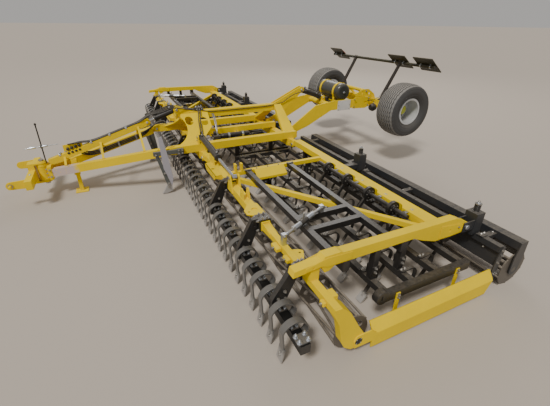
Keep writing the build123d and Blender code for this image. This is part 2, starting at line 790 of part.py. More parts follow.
# Side plate of a wing: a bent sheet along the outer edge, with a strap to the end plate
SIDE_T = 12
SIDE_REAR = -1130
SIDE_FRONT = 290
BAR_SIDE_Y = TINE_FRAME_OUT + 60
with BuildPart() as wing_side:
    front_plate(
        [
            (SIDE_Y - SIDE_T, 22),
            (SIDE_Y, 22),
            (SIDE_Y, 165),
            (SIDE_Y - 62, 252),
            (SIDE_Y - 72, 245),
            (SIDE_Y - SIDE_T, 161),
        ],
        (SIDE_REAR, SIDE_FRONT),
    )
    rear_corner = [(SIDE_REAR - 5, 0), (SIDE_REAR + 75, 0), (SIDE_REAR + 60, 30), (SIDE_REAR - 5, 190)]
    side_plate(rear_corner, (SIDE_Y - SIDE_T - 5, SIDE_Y + 5), Mode.SUBTRACT)
    side_plate(
        [
            (SIDE_FRONT - 60, 95),
            (SIDE_FRONT - 60, 150),
            (SIDE_FRONT + 20, 222),
            (SLANT_X + 20, 222),
            (SLANT_X + 40, 170),
            (SLANT_X + 30, 100),
        ],
        (PLATE_Y[1], SIDE_Y),
    )
    for x in (-760, -60):
        block((x, x + 40), (BAR_SIDE_Y, BAR_SIDE_Y + 10), (140, TINE_BAR_Z + 50))
        block((x, x + 40), (BAR_SIDE_Y, SIDE_Y - SIDE_T), (130, 142))
write_pair(wing_side.part, "wing_side_plate")


# Tines
def make_tine():
    """One spring tine with its share, for a bar at x = 0, y = 0."""
    top = TINE_BAR_Z + TINE_BAR + TINE_T / 2
    with BuildPart() as tine:
        with BuildSketch(side_plane(TINE_W / 2)):
            with BuildLine():
                Line((30, top), (-60, top))
                ThreePointArc((-60, top), (-145, top - 20), (-165, top - 80))
                ThreePointArc((-165, top - 80), (-150, top - 140), (-110, top - 185))
                Line((-110, top - 185), (-55, 90))
                Line((-55, 90), (-15, TINE_TIP_Z + 12))
            trace(line_width=TINE_T)
        extrude(amount=TINE_W)
        side_plate([(-66, 76), (-52, 86), (10, TINE_TIP_Z), (-20, TINE_TIP_Z)], (-35, 35))
    return tine.part


def tine_row(x, spans, tine_ys, tine):
    """One bar with its tines; spans is the bar's (low, high) y range."""
    block((x - TINE_BAR / 2, x + TINE_BAR / 2), spans, (TINE_BAR_Z, TINE_BAR_Z + TINE_BAR))
    with Locations(*[(x, y, 0) for y in tine_ys]):
        add(tine)


def tine_places(row, low, high):
    """Tine places of one row, staggered against the rows before it."""
    first = low + 60 + (row * 2 % 4) * TINE_PITCH / 4 + (row // 2) * TINE_PITCH / 4
    count = int((high - 40 - first) // TINE_PITCH) + 1
    return [first + index * TINE_PITCH for index in range(count)]


TINE = make_tine()
with BuildPart() as wing_tines:
    for row, x in enumerate(TINE_ROWS):
        places = tine_places(row, TINE_FRAME_IN, TINE_FRAME_OUT)
        tine_row(x, (TINE_FRAME_IN, TINE_FRAME_OUT), places, TINE)
write_pair(wing_tines.part, "wing_tines")

CENTRE_TINE_Y = 480
with BuildPart() as centre_tines:
    for row, x in enumerate(TINE_ROWS):
        places = tine_places(row, -CENTRE_TINE_Y, CENTRE_TINE_Y)
        tine_row(x, (-CENTRE_TINE_Y, CENTRE_TINE_Y), places, TINE)
    for side in (-1, 1):
        frame_y = sorted((side * CENTRE_TINE_Y, side * (CENTRE_TINE_Y + 40)))
        block((TINE_ROWS[-1] - 30, TINE_ROWS[0] + 30), frame_y, (TINE_BAR_Z, TINE_BAR_Z + TINE_BAR))
        for x in (TINE_ROWS[0] - 30, TINE_ROWS[2] - 30):
            block((x, x + 60), frame_y, (TINE_BAR_Z + TINE_BAR, SIDE_BEAM_Z))
            foot_y = sorted((side * CENTRE_TINE_Y, side * (SIDE_IN + 40)))
            block((x, x + 60), foot_y, (SIDE_BEAM_Z - 30, SIDE_BEAM_Z))
write(centre_tines.part, "centre_tines")

# Tine frame of a wing: side bars, hangers, cross tubes, and the shaft with its discs
SHAFT_Z = 560
BAR_TOP = TINE_BAR_Z + TINE_BAR
UPPER_TUBE_X = (360, -230)
with BuildPart() as wing_tine_frame:
    frame_x = (TINE_ROWS[-1] - 50, TINE_ROWS[0] + 70)
    block(frame_x, (TINE_FRAME_OUT, TINE_FRAME_OUT + 60), (TINE_BAR_Z - 10, TINE_BAR_Z + 70))
    block(frame_x, (TINE_FRAME_IN - 60, TINE_FRAME_IN), (TINE_BAR_Z, BAR_TOP))
    # hangers: x centre, y centre, top
    for x, y, top in (
        (TINE_ROWS[0], OUTER_BEAM_Y, OUTER_Z[0]),
        (TINE_ROWS[1], OUTER_BEAM_Y, OUTER_Z[0]),
        (TINE_ROWS[0], RAIL_Y, UPPER_TUBE_Z),
        (TINE_ROWS[2], RAIL_Y, UPPER_TUBE_Z),
        (TINE_ROWS[3], 1150, BEAM_TOP - 80),
        (TINE_ROWS[3], 2225, BEAM_TOP - 80),
        (TINE_ROWS[3], 3400, BEAM_TOP - 80),
    ):
        block((x - 28, x + 28), (y - 28, y + 28), (BAR_TOP, top))
    tube_z = (UPPER_TUBE_Z, UPPER_TUBE_Z + UPPER_TUBE)
    for x in UPPER_TUBE_X:
        across = (RAIL_Y + RAIL_W / 2, OUTER_BEAM_Y + UPPER_TUBE / 2)
        block((x - UPPER_TUBE / 2, x + UPPER_TUBE / 2), across, tube_z)
        foot_y = (OUTER_BEAM_Y - UPPER_TUBE / 2, OUTER_BEAM_Y + UPPER_TUBE / 2)
        block((x - UPPER_TUBE / 2, x + UPPER_TUBE / 2), foot_y, (tube_z[1], OUTER_Z[0]))
    along = (UPPER_TUBE_X[1] + UPPER_TUBE / 2, UPPER_TUBE_X[0] - UPPER_TUBE / 2)
    for y in (3035, 3260):
        block(along, (y - 30, y + 30), tube_z)
    rod((SHAFT_LINE_X, 1800, SHAFT_Z), (SHAFT_LINE_X, 3420, SHAFT_Z), 24)
    for y in DISC_Y:
        eye_y(SHAFT_LINE_X, SHAFT_Z, (y - 18, y + 18), DISC_R)
        block((REAR_BEAM_X + 100, SHAFT_LINE_X), (y + 118, y + 142), (SHAFT_Z - 20, SHAFT_Z + 20))
        side_plate(
            [
                (SHAFT_LINE_X - 25, SHAFT_Z),
                (SHAFT_LINE_X + 25, SHAFT_Z),
                (TINE_ROWS[2] + 25, BAR_TOP),
                (TINE_ROWS[2] - 25, BAR_TOP),
            ],
            (y - 12, y + 12),
        )
write_pair(wing_tine_frame.part, "wing_tine_frame")

# Turnbuckle of a wing, on a foot at each end
BUCKLE_Z = 668
with BuildPart() as turnbuckle:
    rod((FRONT_BEAM_X, 3330, BUCKLE_Z), (90, 3040, BUCKLE_Z), 15)
    rod((520, 3264, BUCKLE_Z), (240, 3117, BUCKLE_Z), 25)
    block((FRONT_BEAM_X - 20, FRONT_BEAM_X + 20), (3305, 3345), (SLIM_Z[1], BUCKLE_Z + 22))
    block((70, 110), (3015, 3055), (UPPER_TUBE_Z + UPPER_TUBE, BUCKLE_Z + 22))
write_pair(turnbuckle.part, "wing_turnbuckle")

# Rear tool frame of a wing: tube with a board, roller beam, end plates and two brackets
REAR_AXLE_Z = REAR_ROLLER_OD / 2
ROLLER_BEAM_Z = (REAR_ROLLER_OD + 45, REAR_ROLLER_OD + 125)
BOARD_X = (-1190, -1176)
BOARD_TUBE_X = (-1205, -1145)
PLATE_T = 12
with BuildPart() as rear_frame:
    beam_x = (REAR_ROLLER_X - 50, REAR_ROLLER_X + 50)
    block(beam_x, (REAR_FRAME_IN, REAR_FRAME_OUT), ROLLER_BEAM_Z)
    block(BOARD_TUBE_X, (REAR_FRAME_IN, BOARD_OUT), (440, 500))
    block(BOARD_X, (REAR_FRAME_IN, BOARD_OUT), (270, 440))
    for index in range(4):
        y = REAR_FRAME_IN + 200 + index * 1060
        block((beam_x[1], BOARD_TUBE_X[0]), (y, y + 60), (440, 480))
    for y in (REAR_FRAME_IN, REAR_FRAME_OUT - PLATE_T):
        cheek = (y, y + PLATE_T)
        side_plate(
            [
                (beam_x[1], ROLLER_BEAM_Z[1]),
                (beam_x[0], ROLLER_BEAM_Z[1]),
                (beam_x[0] - 20, 330),
                (REAR_ROLLER_X - BEARING_R, REAR_AXLE_Z),
                (REAR_ROLLER_X + BEARING_R, REAR_AXLE_Z),
                (beam_x[1] + 20, 330),
            ],
            cheek,
        )
        eye_y(REAR_ROLLER_X, REAR_AXLE_Z, cheek, BEARING_R)
        bore_y = (y - 5, y + PLATE_T + 5)
        eye_y(REAR_ROLLER_X, REAR_AXLE_Z, bore_y, REAR_SHAFT_R + PIN_FIT, Mode.SUBTRACT)
    side_plate(
        [(-1142, 360), (-1142, 170), (-1170, 120), (-1215, 150), (-1215, 490), (-1176, 500)],
        (BOARD_OUT, BOARD_OUT + PLATE_T),
    )
    for y, start in ((2100, REAR_BEAM_X - 60), (OUTER_BEAM_Y, None)):
        block((-1190, -1080), (y - 60, y + 60), (500, 720))
        if start:
            block((-1080, start), (y - 40, y + 40), (530, 590))
        else:
            half = OUTER_BEAM_W / 2
            for off in (-half - PLATE_T, half):
                block((-1080, -940), (y + off, y + off + PLATE_T), (560, 660))
write_pair(rear_frame.part, "wing_rear_frame")

# Rear roller: a cage of bars on plates
PLATE_COUNT = 6
with BuildPart() as rear_roller:
    roller_y = (REAR_FRAME_IN + PLATE_T + 10, REAR_FRAME_OUT - PLATE_T - 10)
    bar_r = 13
    bar_circle = REAR_ROLLER_OD / 2 - bar_r
    eye_y(REAR_ROLLER_X, REAR_AXLE_Z, (REAR_FRAME_IN + 1, REAR_FRAME_OUT - 1), REAR_SHAFT_R)
    with BuildSketch(side_plane(roller_y[1])):
        with Locations((REAR_ROLLER_X, REAR_AXLE_Z)):
            with PolarLocations(bar_circle, BAR_COUNT, start_angle=-90):
                Circle(bar_r)
    extrude(amount=roller_y[1] - roller_y[0])
    step = (roller_y[1] - roller_y[0] - PLATE_T) / (PLATE_COUNT - 1)
    for index in range(PLATE_COUNT):
        y = roller_y[0] + index * step
        eye_y(REAR_ROLLER_X, REAR_AXLE_Z, (y, y + PLATE_T), bar_circle + 2)
write_pair(rear_roller.part, "rear_roller")

# Track looseners ahead of the front tools, with a guard blade beside each
LOOSENER_Y = 720
with BuildPart() as looseners:
    for side in (-1, 1):
        face = sorted((side * SIDE_OUT, side * (LOOSENER_Y + 20)))
        inner = sorted((side * (LOOSENER_Y - 20), side * (LOOSENER_Y + 20)))
        blade = sorted((side * (LOOSENER_Y + 20), side * (LOOSENER_Y + 28)))
        block((940, 1030), face, (575, 655))
        block((1030, 1360), inner, (595, 650))
        side_plate([(1360, 650), (1290, 600), (1180, 120), (1230, 100), (1330, 560)], inner)
        side_plate([(1165, 40), (1250, 8), (1320, 8), (1240, 130), (1180, 140)], inner)
        side_plate([(1215, 870), (1265, 850), (1255, 400), (1170, 110), (1140, 240), (1175, 620)], blade)
write(looseners.part, "track_looseners")

# Drawbar
BAR_SLOPE = (SIDE_BEAM_Y - BAR_HEAD_Y) / (BAR_HEAD_X - BAR_HINGE_X)
BAR_FALL = (BAR_HINGE_Z - BAR_HEAD_Z) / (BAR_HEAD_X - BAR_HINGE_X)
HEAD_REAR = 2690


def bar_point(x):
    """Centre of the left drawbar beam at x."""
    run = x - BAR_HINGE_X
    return (x, SIDE_BEAM_Y - run * BAR_SLOPE, BAR_HINGE_Z - run * BAR_FALL)


tongue_y = (SIDE_IN + CHEEK_T + 6, SIDE_OUT - CHEEK_T - 6)
with BuildPart() as drawbar_left:
    bar(bar_point(BAR_HINGE_X + 85), bar_point(HEAD_REAR + 40), BAR_W, BAR_H)
    side_plate(
        [
            (BAR_HINGE_X, BAR_HINGE_Z + BAR_EYE_R - 4),
            (BAR_HINGE_X + 130, BAR_HINGE_Z + 24),
            (BAR_HINGE_X + 130, BAR_HINGE_Z - 68),
            (BAR_HINGE_X, BAR_HINGE_Z - BAR_EYE_R + 4),
        ],
        tongue_y,
    )
    eye_y(BAR_HINGE_X, BAR_HINGE_Z, tongue_y, BAR_EYE_R - 4)
    eye_y(BAR_HINGE_X, BAR_HINGE_Z, (500, 800), BAR_PIN_R + PIN_FIT, Mode.SUBTRACT)
    with Locations((HEAD_REAR + 50, 100, BAR_HEAD_Z)):
        Box(100, 400, 400, mode=Mode.SUBTRACT)
write_pair(drawbar_left.part, "drawbar_beam")

# Drawbar head: swivel barrel, floor plate and the parking stand's sleeve
STAND_Y = 86
SLEEVE = STAND_TUBE + 24
with BuildPart() as head:
    block((HEAD_REAR, HEAD_REAR + 50), (-140, 140), (255, 445))
    block((HEAD_REAR + 50, SWIVEL_X), (-60, 60), (270, 430))
    rod((SWIVEL_X, 0, SWIVEL_LOW), (SWIVEL_X, 0, SWIVEL_HIGH), SWIVEL_R)
    rod((SWIVEL_X, 0, 0), (SWIVEL_X, 0, 900), SWIVEL_PIN_R + PIN_FIT, Mode.SUBTRACT)
    floor_x = (STAND_X - SLEEVE / 2, HEAD_REAR)
    inner_y = [bar_point(x)[1] - BAR_W / 2 * sqrt(1 + BAR_SLOPE**2) for x in floor_x]
    flat_plate(
        [
            (floor_x[0], -inner_y[0]),
            (floor_x[0], inner_y[0]),
            (floor_x[1], inner_y[1]),
            (floor_x[1], -inner_y[1]),
        ],
        (345, 360),
    )
    with Locations((STAND_X, STAND_Y, 385)):
        Box(SLEEVE, SLEEVE, 230)
        Box(STAND_TUBE + 2 * FACE_GAP, STAND_TUBE + 2 * FACE_GAP, 240, mode=Mode.SUBTRACT)
write(head.part, "drawbar_head")

# Parking stand, let down to the floor
with BuildPart() as stand:
    half = STAND_TUBE / 2
    block((STAND_X - half, STAND_X + half), (STAND_Y - half, STAND_Y + half), (STAND_FOOT_T, 480))
    with Locations((STAND_X, STAND_Y, STAND_FOOT_T / 2)):
        Box(STAND_FOOT, STAND_FOOT, STAND_FOOT_T)
write(stand.part, "parking_stand")

# Raised strut of the drawbar with its fork, ties and the plug rack
STRUT_START = (2700, 0, 474)
STRUT_END = (1400, 0, 868)
STRUT_RISE = (STRUT_END[2] - STRUT_START[2]) / (STRUT_START[0] - STRUT_END[0])
with BuildPart() as strut:
    bar(STRUT_START, STRUT_END, STRUT_W, STRUT_W)
    for side in (-1, 1):
        cheek = sorted((side * 28, side * STRUT_W / 2))
        side_plate(
            [
                (1470, 890),
                (STRUT_PIN_X, STRUT_PIN_Z + 50),
                (STRUT_PIN_X, STRUT_PIN_Z - 50),
                (1450, 800),
            ],
            cheek,
        )
        eye_y(STRUT_PIN_X, STRUT_PIN_Z, cheek, 50)
    with Locations((2700, 0, 445 - 100)):
        Box(400, 200, 200, mode=Mode.SUBTRACT)
    for x in (2500, 2000, 1450):
        strut_z = STRUT_START[2] + (STRUT_START[0] - x) * STRUT_RISE
        for side in (-1, 1):
            beam_at = bar_point(x)
            bar((x, side * 30, strut_z), (x, side * beam_at[1], beam_at[2] + BAR_H / 2 + 6), 30, 12)
    for side in (-1, 1):
        ends = [(p[0], side * p[1], p[2]) for p in (bar_point(BAR_HINGE_X), bar_point(HEAD_REAR))]
        bar(ends[0], ends[1], BAR_W, BAR_H, Mode.SUBTRACT)
    side_plate([(2240, 600), (2240, 710), (2490, 690), (2490, 530)], (-6, 6))
write(strut.part, "drawbar_strut")

# Hitch yoke with the two lower link pins, each on one cheek with its outer end free
with BuildPart() as yoke:
    yoke_x = (YOKE_REAR, YOKE_FRONT)
    block(yoke_x, (-YOKE_Y, YOKE_Y), (LINK_Z - 60, LINK_Z + 60))
    fork_low, fork_high = SWIVEL_LOW - 27, SWIVEL_HIGH + 27
    block(yoke_x, (-70, 70), (fork_low, fork_high))
    for low in (fork_low, fork_high - 22):
        block((SWIVEL_X, YOKE_REAR + 10), (-70, 70), (low, low + 22))
        rod((SWIVEL_X, 0, low), (SWIVEL_X, 0, low + 22), 70)
    rod((SWIVEL_X, 0, fork_low), (SWIVEL_X, 0, fork_high), SWIVEL_PIN_R)
    for side in (-1, 1):
        cheek = sorted((side * (PIN_ROOT_Y - CHEEK_T), side * PIN_ROOT_Y))
        side_plate(
            [
                (YOKE_FRONT - 10, LINK_Z + 60),
                (LINK_X, LINK_Z + LINK_EYE_R),
                (LINK_X, LINK_Z - LINK_EYE_R),
                (YOKE_FRONT - 10, LINK_Z - 60),
            ],
            cheek,
        )
        eye_y(LINK_X, LINK_Z, cheek, LINK_EYE_R)
        eye_y(LINK_X, LINK_Z, sorted((side * PIN_ROOT_Y, side * YOKE_Y)), LINK_PIN_R)
write(yoke.part, "hitch_yoke")

# Axle arms, joined by a cross tube with the lift cylinder's ears and the tank's shelf
BEAM_FRONT = WHEEL_X + 70
with BuildPart() as arms:
    for y in (-ARM_Y, ARM_Y):
        cheek = (y - ARM_T / 2, y + ARM_T / 2)
        side_plate(
            [
                (AXLE_HINGE_X, AXLE_HINGE_Z + 65),
                (-1480, 985),
                (-1900, 1035),
                (BEAM_FRONT, 1020),
                (BEAM_FRONT, 880),
                (-1800, 870),
                (-1330, 640),
                (AXLE_HINGE_X, AXLE_HINGE_Z - 65),
            ],
            cheek,
        )
        eye_y(AXLE_HINGE_X, AXLE_HINGE_Z, cheek, 65)
        eye_y(AXLE_HINGE_X, AXLE_HINGE_Z, (y - 50, y + 50), AXLE_PIN_R + PIN_FIT, Mode.SUBTRACT)
    inside = (-ARM_Y + ARM_T / 2, ARM_Y - ARM_T / 2)
    eye_y(LIFT_EAR_X, 930, inside, 50)
    for side in (-1, 1):
        ear = sorted((side * 30, side * 50))
        side_plate(
            [
                (LIFT_EAR_X - 48, 930),
                (LIFT_EAR_X - 38, LIFT_EAR_Z),
                (LIFT_EAR_X + 38, LIFT_EAR_Z),
                (LIFT_EAR_X + 48, 930),
            ],
            ear,
        )
        eye_y(LIFT_EAR_X, LIFT_EAR_Z, ear, 40)
    block((TANK_X - 110, TANK_X + 110), inside, (970, 985))
    for y in (-190, 190):
        block((TANK_X - 60, TANK_X + 60), (y - 20, y + 20), (985, TANK_Z - TANK_R - FACE_GAP))
write(arms.part, "axle_arms")

# Axle beam with hub stubs and brake flanges
HALF_TRACK = TRACK / 2
HUB_IN = HALF_TRACK - 190
with BuildPart() as axle:
    beam_end = HUB_IN - 260
    block((WHEEL_X - 70, BEAM_FRONT), (-beam_end, beam_end), (WHEEL_Z - 70, WHEEL_Z + 70))
    eye_y(WHEEL_X, WHEEL_Z, (-HUB_IN - 120, HUB_IN + 120), STUB_R)
    for side in (-1, 1):
        eye_y(WHEEL_X, WHEEL_Z, sorted((side * beam_end, side * (HUB_IN - 60))), 60)
        eye_y(WHEEL_X, WHEEL_Z, sorted((side * (HUB_IN - 100), side * (HUB_IN - 30))), 120)
write(axle.part, "axle_beam")

# Air tank with rounded ends
TANK_ROUND = 50
with BuildPart() as tank:
    eye_y(TANK_X, TANK_Z, (-TANK_LEN / 2, TANK_LEN / 2), TANK_R)
    fillet(tank.edges().filter_by(GeomType.CIRCLE), TANK_ROUND)
write(tank.part, "air_tank")

# Light posts on the axle beam
POST_FOOT = (-2720, WHEEL_Z + 70)
LIGHT_BAR_R = 25
LIGHT_BAR_Y = (-1410, 1380)
with BuildPart() as posts:
    for side in (-1, 1):
        y = side * POST_Y
        block((POST_FOOT[0] - 40, POST_FOOT[0] + 35), (y - 40, y + 40), (POST_FOOT[1], POST_FOOT[1] + 12))
        bar((POST_FOOT[0], y, POST_FOOT[1] + 10), (BAR_POST_X, y, BAR_POST_Z), 40, 40)
    eye_y(BAR_POST_X, BAR_POST_Z, LIGHT_BAR_Y, LIGHT_BAR_R, Mode.SUBTRACT)
    block((BAR_POST_X - 60, BAR_POST_X + 60), LIGHT_BAR_Y, (BAR_POST_Z, BAR_POST_Z + 60), Mode.SUBTRACT)
write(posts.part, "light_posts")

# Light bar with its boards, which lean with the raised axle
BOARD_LEAN = 53
BOARD_Y = (-1220, 600, 1190)
with BuildPart() as lights:
    eye_y(BAR_POST_X, BAR_POST_Z, LIGHT_BAR_Y, LIGHT_BAR_R)
    for y in BOARD_Y:
        tilt = Plane(
            origin=(BAR_POST_X, y, BAR_POST_Z),
            x_dir=(0, 1, 0),
            z_dir=(-cos(BOARD_LEAN * pi / 180), 0, sin(BOARD_LEAN * pi / 180)),
        )
        with BuildSketch(tilt.offset(LIGHT_BAR_R - 2)):
            Rectangle(400, 340)
        extrude(amount=14)
write(lights.part, "light_bar")


# Wheels
def wheel(side, name):
    """One wide tyre and its rim around a stub of the axle."""
    place = Plane(origin=(WHEEL_X, side * HALF_TRACK, WHEEL_Z), x_dir=(1, 0, 0), z_dir=(0, 0, side))
    turn = Axis((WHEEL_X, 0, WHEEL_Z), (0, 1, 0))
    edge = TYRE_W / 2
    crown = TYRE_OD / 2
    flank = RIM_R + (crown - RIM_R) * 0.47
    seat = edge - 53
    bead = edge - 76
    with BuildPart() as tyre:
        with BuildSketch(place):
            with BuildLine():
                Line((RIM_R, -seat), (RIM_R + 26, -seat))
                ThreePointArc((RIM_R + 26, -seat), (flank, -edge), (crown - 27, -edge + 17))
                Line((crown - 27, -edge + 17), (crown - 5, -edge + 37))
                ThreePointArc((crown - 5, -edge + 37), (crown, 0), (crown - 5, edge - 37))
                Line((crown - 5, edge - 37), (crown - 27, edge - 17))
                ThreePointArc((crown - 27, edge - 17), (flank, edge), (RIM_R + 26, seat))
                Line((RIM_R + 26, seat), (RIM_R, seat))
                Line((RIM_R, seat), (RIM_R, bead))
                ThreePointArc((RIM_R, bead), (flank - 10, edge - 28), (crown - 40, edge - 50))
                Line((crown - 40, edge - 50), (crown - 40, 50 - edge))
                ThreePointArc((crown - 40, 50 - edge), (flank - 10, 28 - edge), (RIM_R, -bead))
                Line((RIM_R, -bead), (RIM_R, -seat))
            make_face()
        revolve(axis=turn)
    write(tyre.part, "tyre_" + name)
    with BuildPart() as rim:
        with BuildSketch(place):
            Polygon(
                (RIM_R - 8, -seat - 13),
                (RIM_R + 22, -seat - 13),
                (RIM_R + 22, -seat - 1),
                (RIM_R, -seat - 1),
                (RIM_R, seat + 1),
                (RIM_R + 22, seat + 1),
                (RIM_R + 22, seat + 13),
                (RIM_R - 8, seat + 13),
                align=None,
            )
            Polygon(
                (STUB_R + PIN_FIT, -190),
                (90, -190),
                (90, -82),
                (RIM_R - 6, -82),
                (RIM_R - 6, -70),
                (90, -70),
                (78, -40),
                (0, -40),
                (0, -64),
                (STUB_R + PIN_FIT, -64),
                align=None,
            )
        revolve(axis=turn)
    write(rim.part, "rim_" + name)


wheel(1, "left")
wheel(-1, "right")

# Hydraulic cylinders
LIFT_RUN = hypot(LIFT_EAR_X - LIFT_PIN_X, LIFT_EAR_Z - LIFT_PIN_Z)
make_cylinder(
    "top_cylinder",
    (TOP_PIN_X, 0, TOP_PIN_Z),
    (STRUT_PIN_X, 0, STRUT_PIN_Z),
    (0, 1, 0),
    barrel_r=42,
    rod_r=20,
    eye_t=46,
    bores=(LIFT_PIN_R + PIN_FIT, 14),
    neck=60,
    bore=70,
    rod=150,
    end=360,
)
make_cylinder(
    "axle_cylinder",
    (LIFT_PIN_X, 0, LIFT_PIN_Z),
    (LIFT_EAR_X, 0, LIFT_EAR_Z),
    (0, 1, 0),
    barrel_r=46,
    rod_r=24,
    eye_t=50,
    bores=(LIFT_PIN_R + PIN_FIT, 14),
    neck=65,
    bore=70,
    rod=75,
    end=LIFT_RUN - 64,
)
FOLD_CYL = make_cylinder(
    "fold_cylinder_left",
    (FRONT_BEAM_X, FOLD_BASE_Y, FOLD_BASE_Z),
    (FRONT_BEAM_X, FOLD_TIP_Y, FOLD_TIP_Z),
    (1, 0, 0),
    barrel_r=40,
    rod_r=20,
    eye_t=56,
    bores=(CYL_PIN_R + PIN_FIT, 14),
    neck=50,
    bore=60,
    rod=560,
    end=850,
)
for piece, part_name in zip(FOLD_CYL, ("barrel", "rod")):
    with BuildPart() as other_side:
        mirror(piece, about=Plane.XZ)
    write(other_side.part, "fold_cylinder_right_" + part_name)
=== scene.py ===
import json
from itertools import product
from math import atan2, cos, pi, radians, sin

import bmesh
import bpy
from mathutils import Matrix, Vector
from mathutils.geometry import tessellate_polygon


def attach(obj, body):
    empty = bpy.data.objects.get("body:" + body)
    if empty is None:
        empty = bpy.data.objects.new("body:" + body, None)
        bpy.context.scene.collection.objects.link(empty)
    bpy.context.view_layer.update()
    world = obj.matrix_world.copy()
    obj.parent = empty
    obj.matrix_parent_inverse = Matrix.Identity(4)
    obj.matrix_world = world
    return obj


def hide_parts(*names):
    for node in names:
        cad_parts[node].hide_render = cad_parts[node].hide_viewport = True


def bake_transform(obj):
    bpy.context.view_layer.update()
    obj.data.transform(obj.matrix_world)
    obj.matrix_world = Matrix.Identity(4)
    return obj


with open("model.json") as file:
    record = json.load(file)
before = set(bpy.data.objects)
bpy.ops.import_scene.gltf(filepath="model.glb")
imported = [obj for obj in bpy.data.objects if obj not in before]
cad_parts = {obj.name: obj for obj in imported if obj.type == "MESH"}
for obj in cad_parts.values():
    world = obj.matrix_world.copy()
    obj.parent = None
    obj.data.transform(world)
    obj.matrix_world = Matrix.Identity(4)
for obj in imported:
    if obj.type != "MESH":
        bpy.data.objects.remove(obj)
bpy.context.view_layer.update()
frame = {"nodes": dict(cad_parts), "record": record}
SIDES = (("left", 1), ("right", -1))
BOTH = (1, -1)
X, Y, Z = Vector((1, 0, 0)), Vector((0, 1, 0)), Vector((0, 0, 1))
LEVEL = Matrix.Identity(3)


def pairs(*numbers, each=2):
    """Measures given in millimetres, in pairs or other groups."""
    metres = iter([number / 1000 for number in numbers])
    return list(zip(*[metres] * each))


def trios(*numbers):
    """Measures given in millimetres, in threes."""
    return pairs(*numbers, each=3)


# Places shared with the frame, in metres
FRONT_X, REAR_X = 0.65, -0.83
BEAM_TOP, STOUT_LOW, STOUT_HALF = 0.6, 0.51, 0.045
SLIM_LOW, SLIM_TOP, SLIM_HALF = 0.52, 0.58, 0.03
FORK_HALF = 0.06
FOLD_Y, FOLD_Z = 0.86, 0.52
SIDE_Y = 4.15
LOOP_X, LOOP_Z, LOOP_HALF = 0.867, 0.26, 0.04
LOOP_PITCH, LOOP_COUNT, LOOP_FIRST = 0.19, 19, 0.51
ARM_YS = tuple(LOOP_FIRST + (gap + 0.5) * LOOP_PITCH for gap in (7, 12, 16))
OUTER_Y, OUTER_HALF, RAIL_Y = 3.79, 0.04, 1.73
SLANT_X, SLANT_Z = 0.43, 0.165
REAR_ROLLER_X, REAR_ROLLER_Z = -1.42, 0.19
TINE_ROWS = (0.05, -0.25, -0.55, -0.85)
TINE_BAR_TOP, TINE_PITCH, TINE_STAGGER = 0.36, 0.3, 0.075
WHEEL_X, WHEEL_Z, HALF_TRACK = -2.755, 0.95, 1.15
TYRE_R, TYRE_W = 0.437, 0.404
TANK, TANK_R = Vector((-2.09, 0.0, 1.15)), 0.148
BAR_POST = Vector((-3.05, 0.0, 1.64))
# Pins at both ends of each cylinder, barrel first, and the outer face of their ears
FOLD_BASE, FOLD_TIP = trios(650, 640, 760, 650, 2080, 700)
TOP_BASE, TOP_TIP = trios(850, 0, 1050, 1310, 0, 900)
LIFT_BASE, LIFT_TIP = trios(-1370, 0, 1200, -1850, 0, 1030)
EAR_Y = 0.05


# Materials
def node(tree, kind, **settings):
    """Add a shader node and set its attributes and inputs by name."""
    made = tree.nodes.new(kind)
    for key, value in settings.items():
        if hasattr(made, key):
            setattr(made, key, value)
        else:
            made.inputs[key.replace("_", " ")].default_value = value
    return made


def ramp(tree, source, low, high):
    """Stretch a factor so that low becomes 0 and high becomes 1."""
    made = node(tree, "ShaderNodeMapRange", interpolation_type="SMOOTHSTEP", From_Min=low, From_Max=high)
    tree.links.new(source, made.inputs["Value"])
    return made.outputs["Result"]


def maths(tree, operation, *values):
    """A maths node over sockets and numbers."""
    made = node(tree, "ShaderNodeMath", operation=operation)
    for socket, value in zip(made.inputs, values):
        if isinstance(value, float):
            socket.default_value = value
        else:
            tree.links.new(value, socket)
    return made.outputs[0]


def mixed(tree, factor, first, second):
    """Mix two colours, each a socket or a tuple."""
    made = node(tree, "ShaderNodeMix", data_type="RGBA")
    tree.links.new(factor, made.inputs["Factor"])
    for socket, value in ((made.inputs[6], first), (made.inputs[7], second)):
        if isinstance(value, tuple):
            socket.default_value = (*value, 1)
        else:
            tree.links.new(value, socket)
    return made.outputs[2]


def noise(tree, coordinates, scale, detail=5.0, rough=0.6):
    """A noise factor at a scale per metre."""
    made = node(tree, "ShaderNodeTexNoise", Scale=scale, Detail=detail, Roughness=rough)
    tree.links.new(coordinates, made.inputs["Vector"])
    return made.outputs["Fac"]


def axes(tree, source):
    """The three parts of a vector, by name."""
    made = node(tree, "ShaderNodeSeparateXYZ")
    tree.links.new(source, made.inputs[0])
    return made.outputs


DUST = (0.44, 0.37, 0.28)


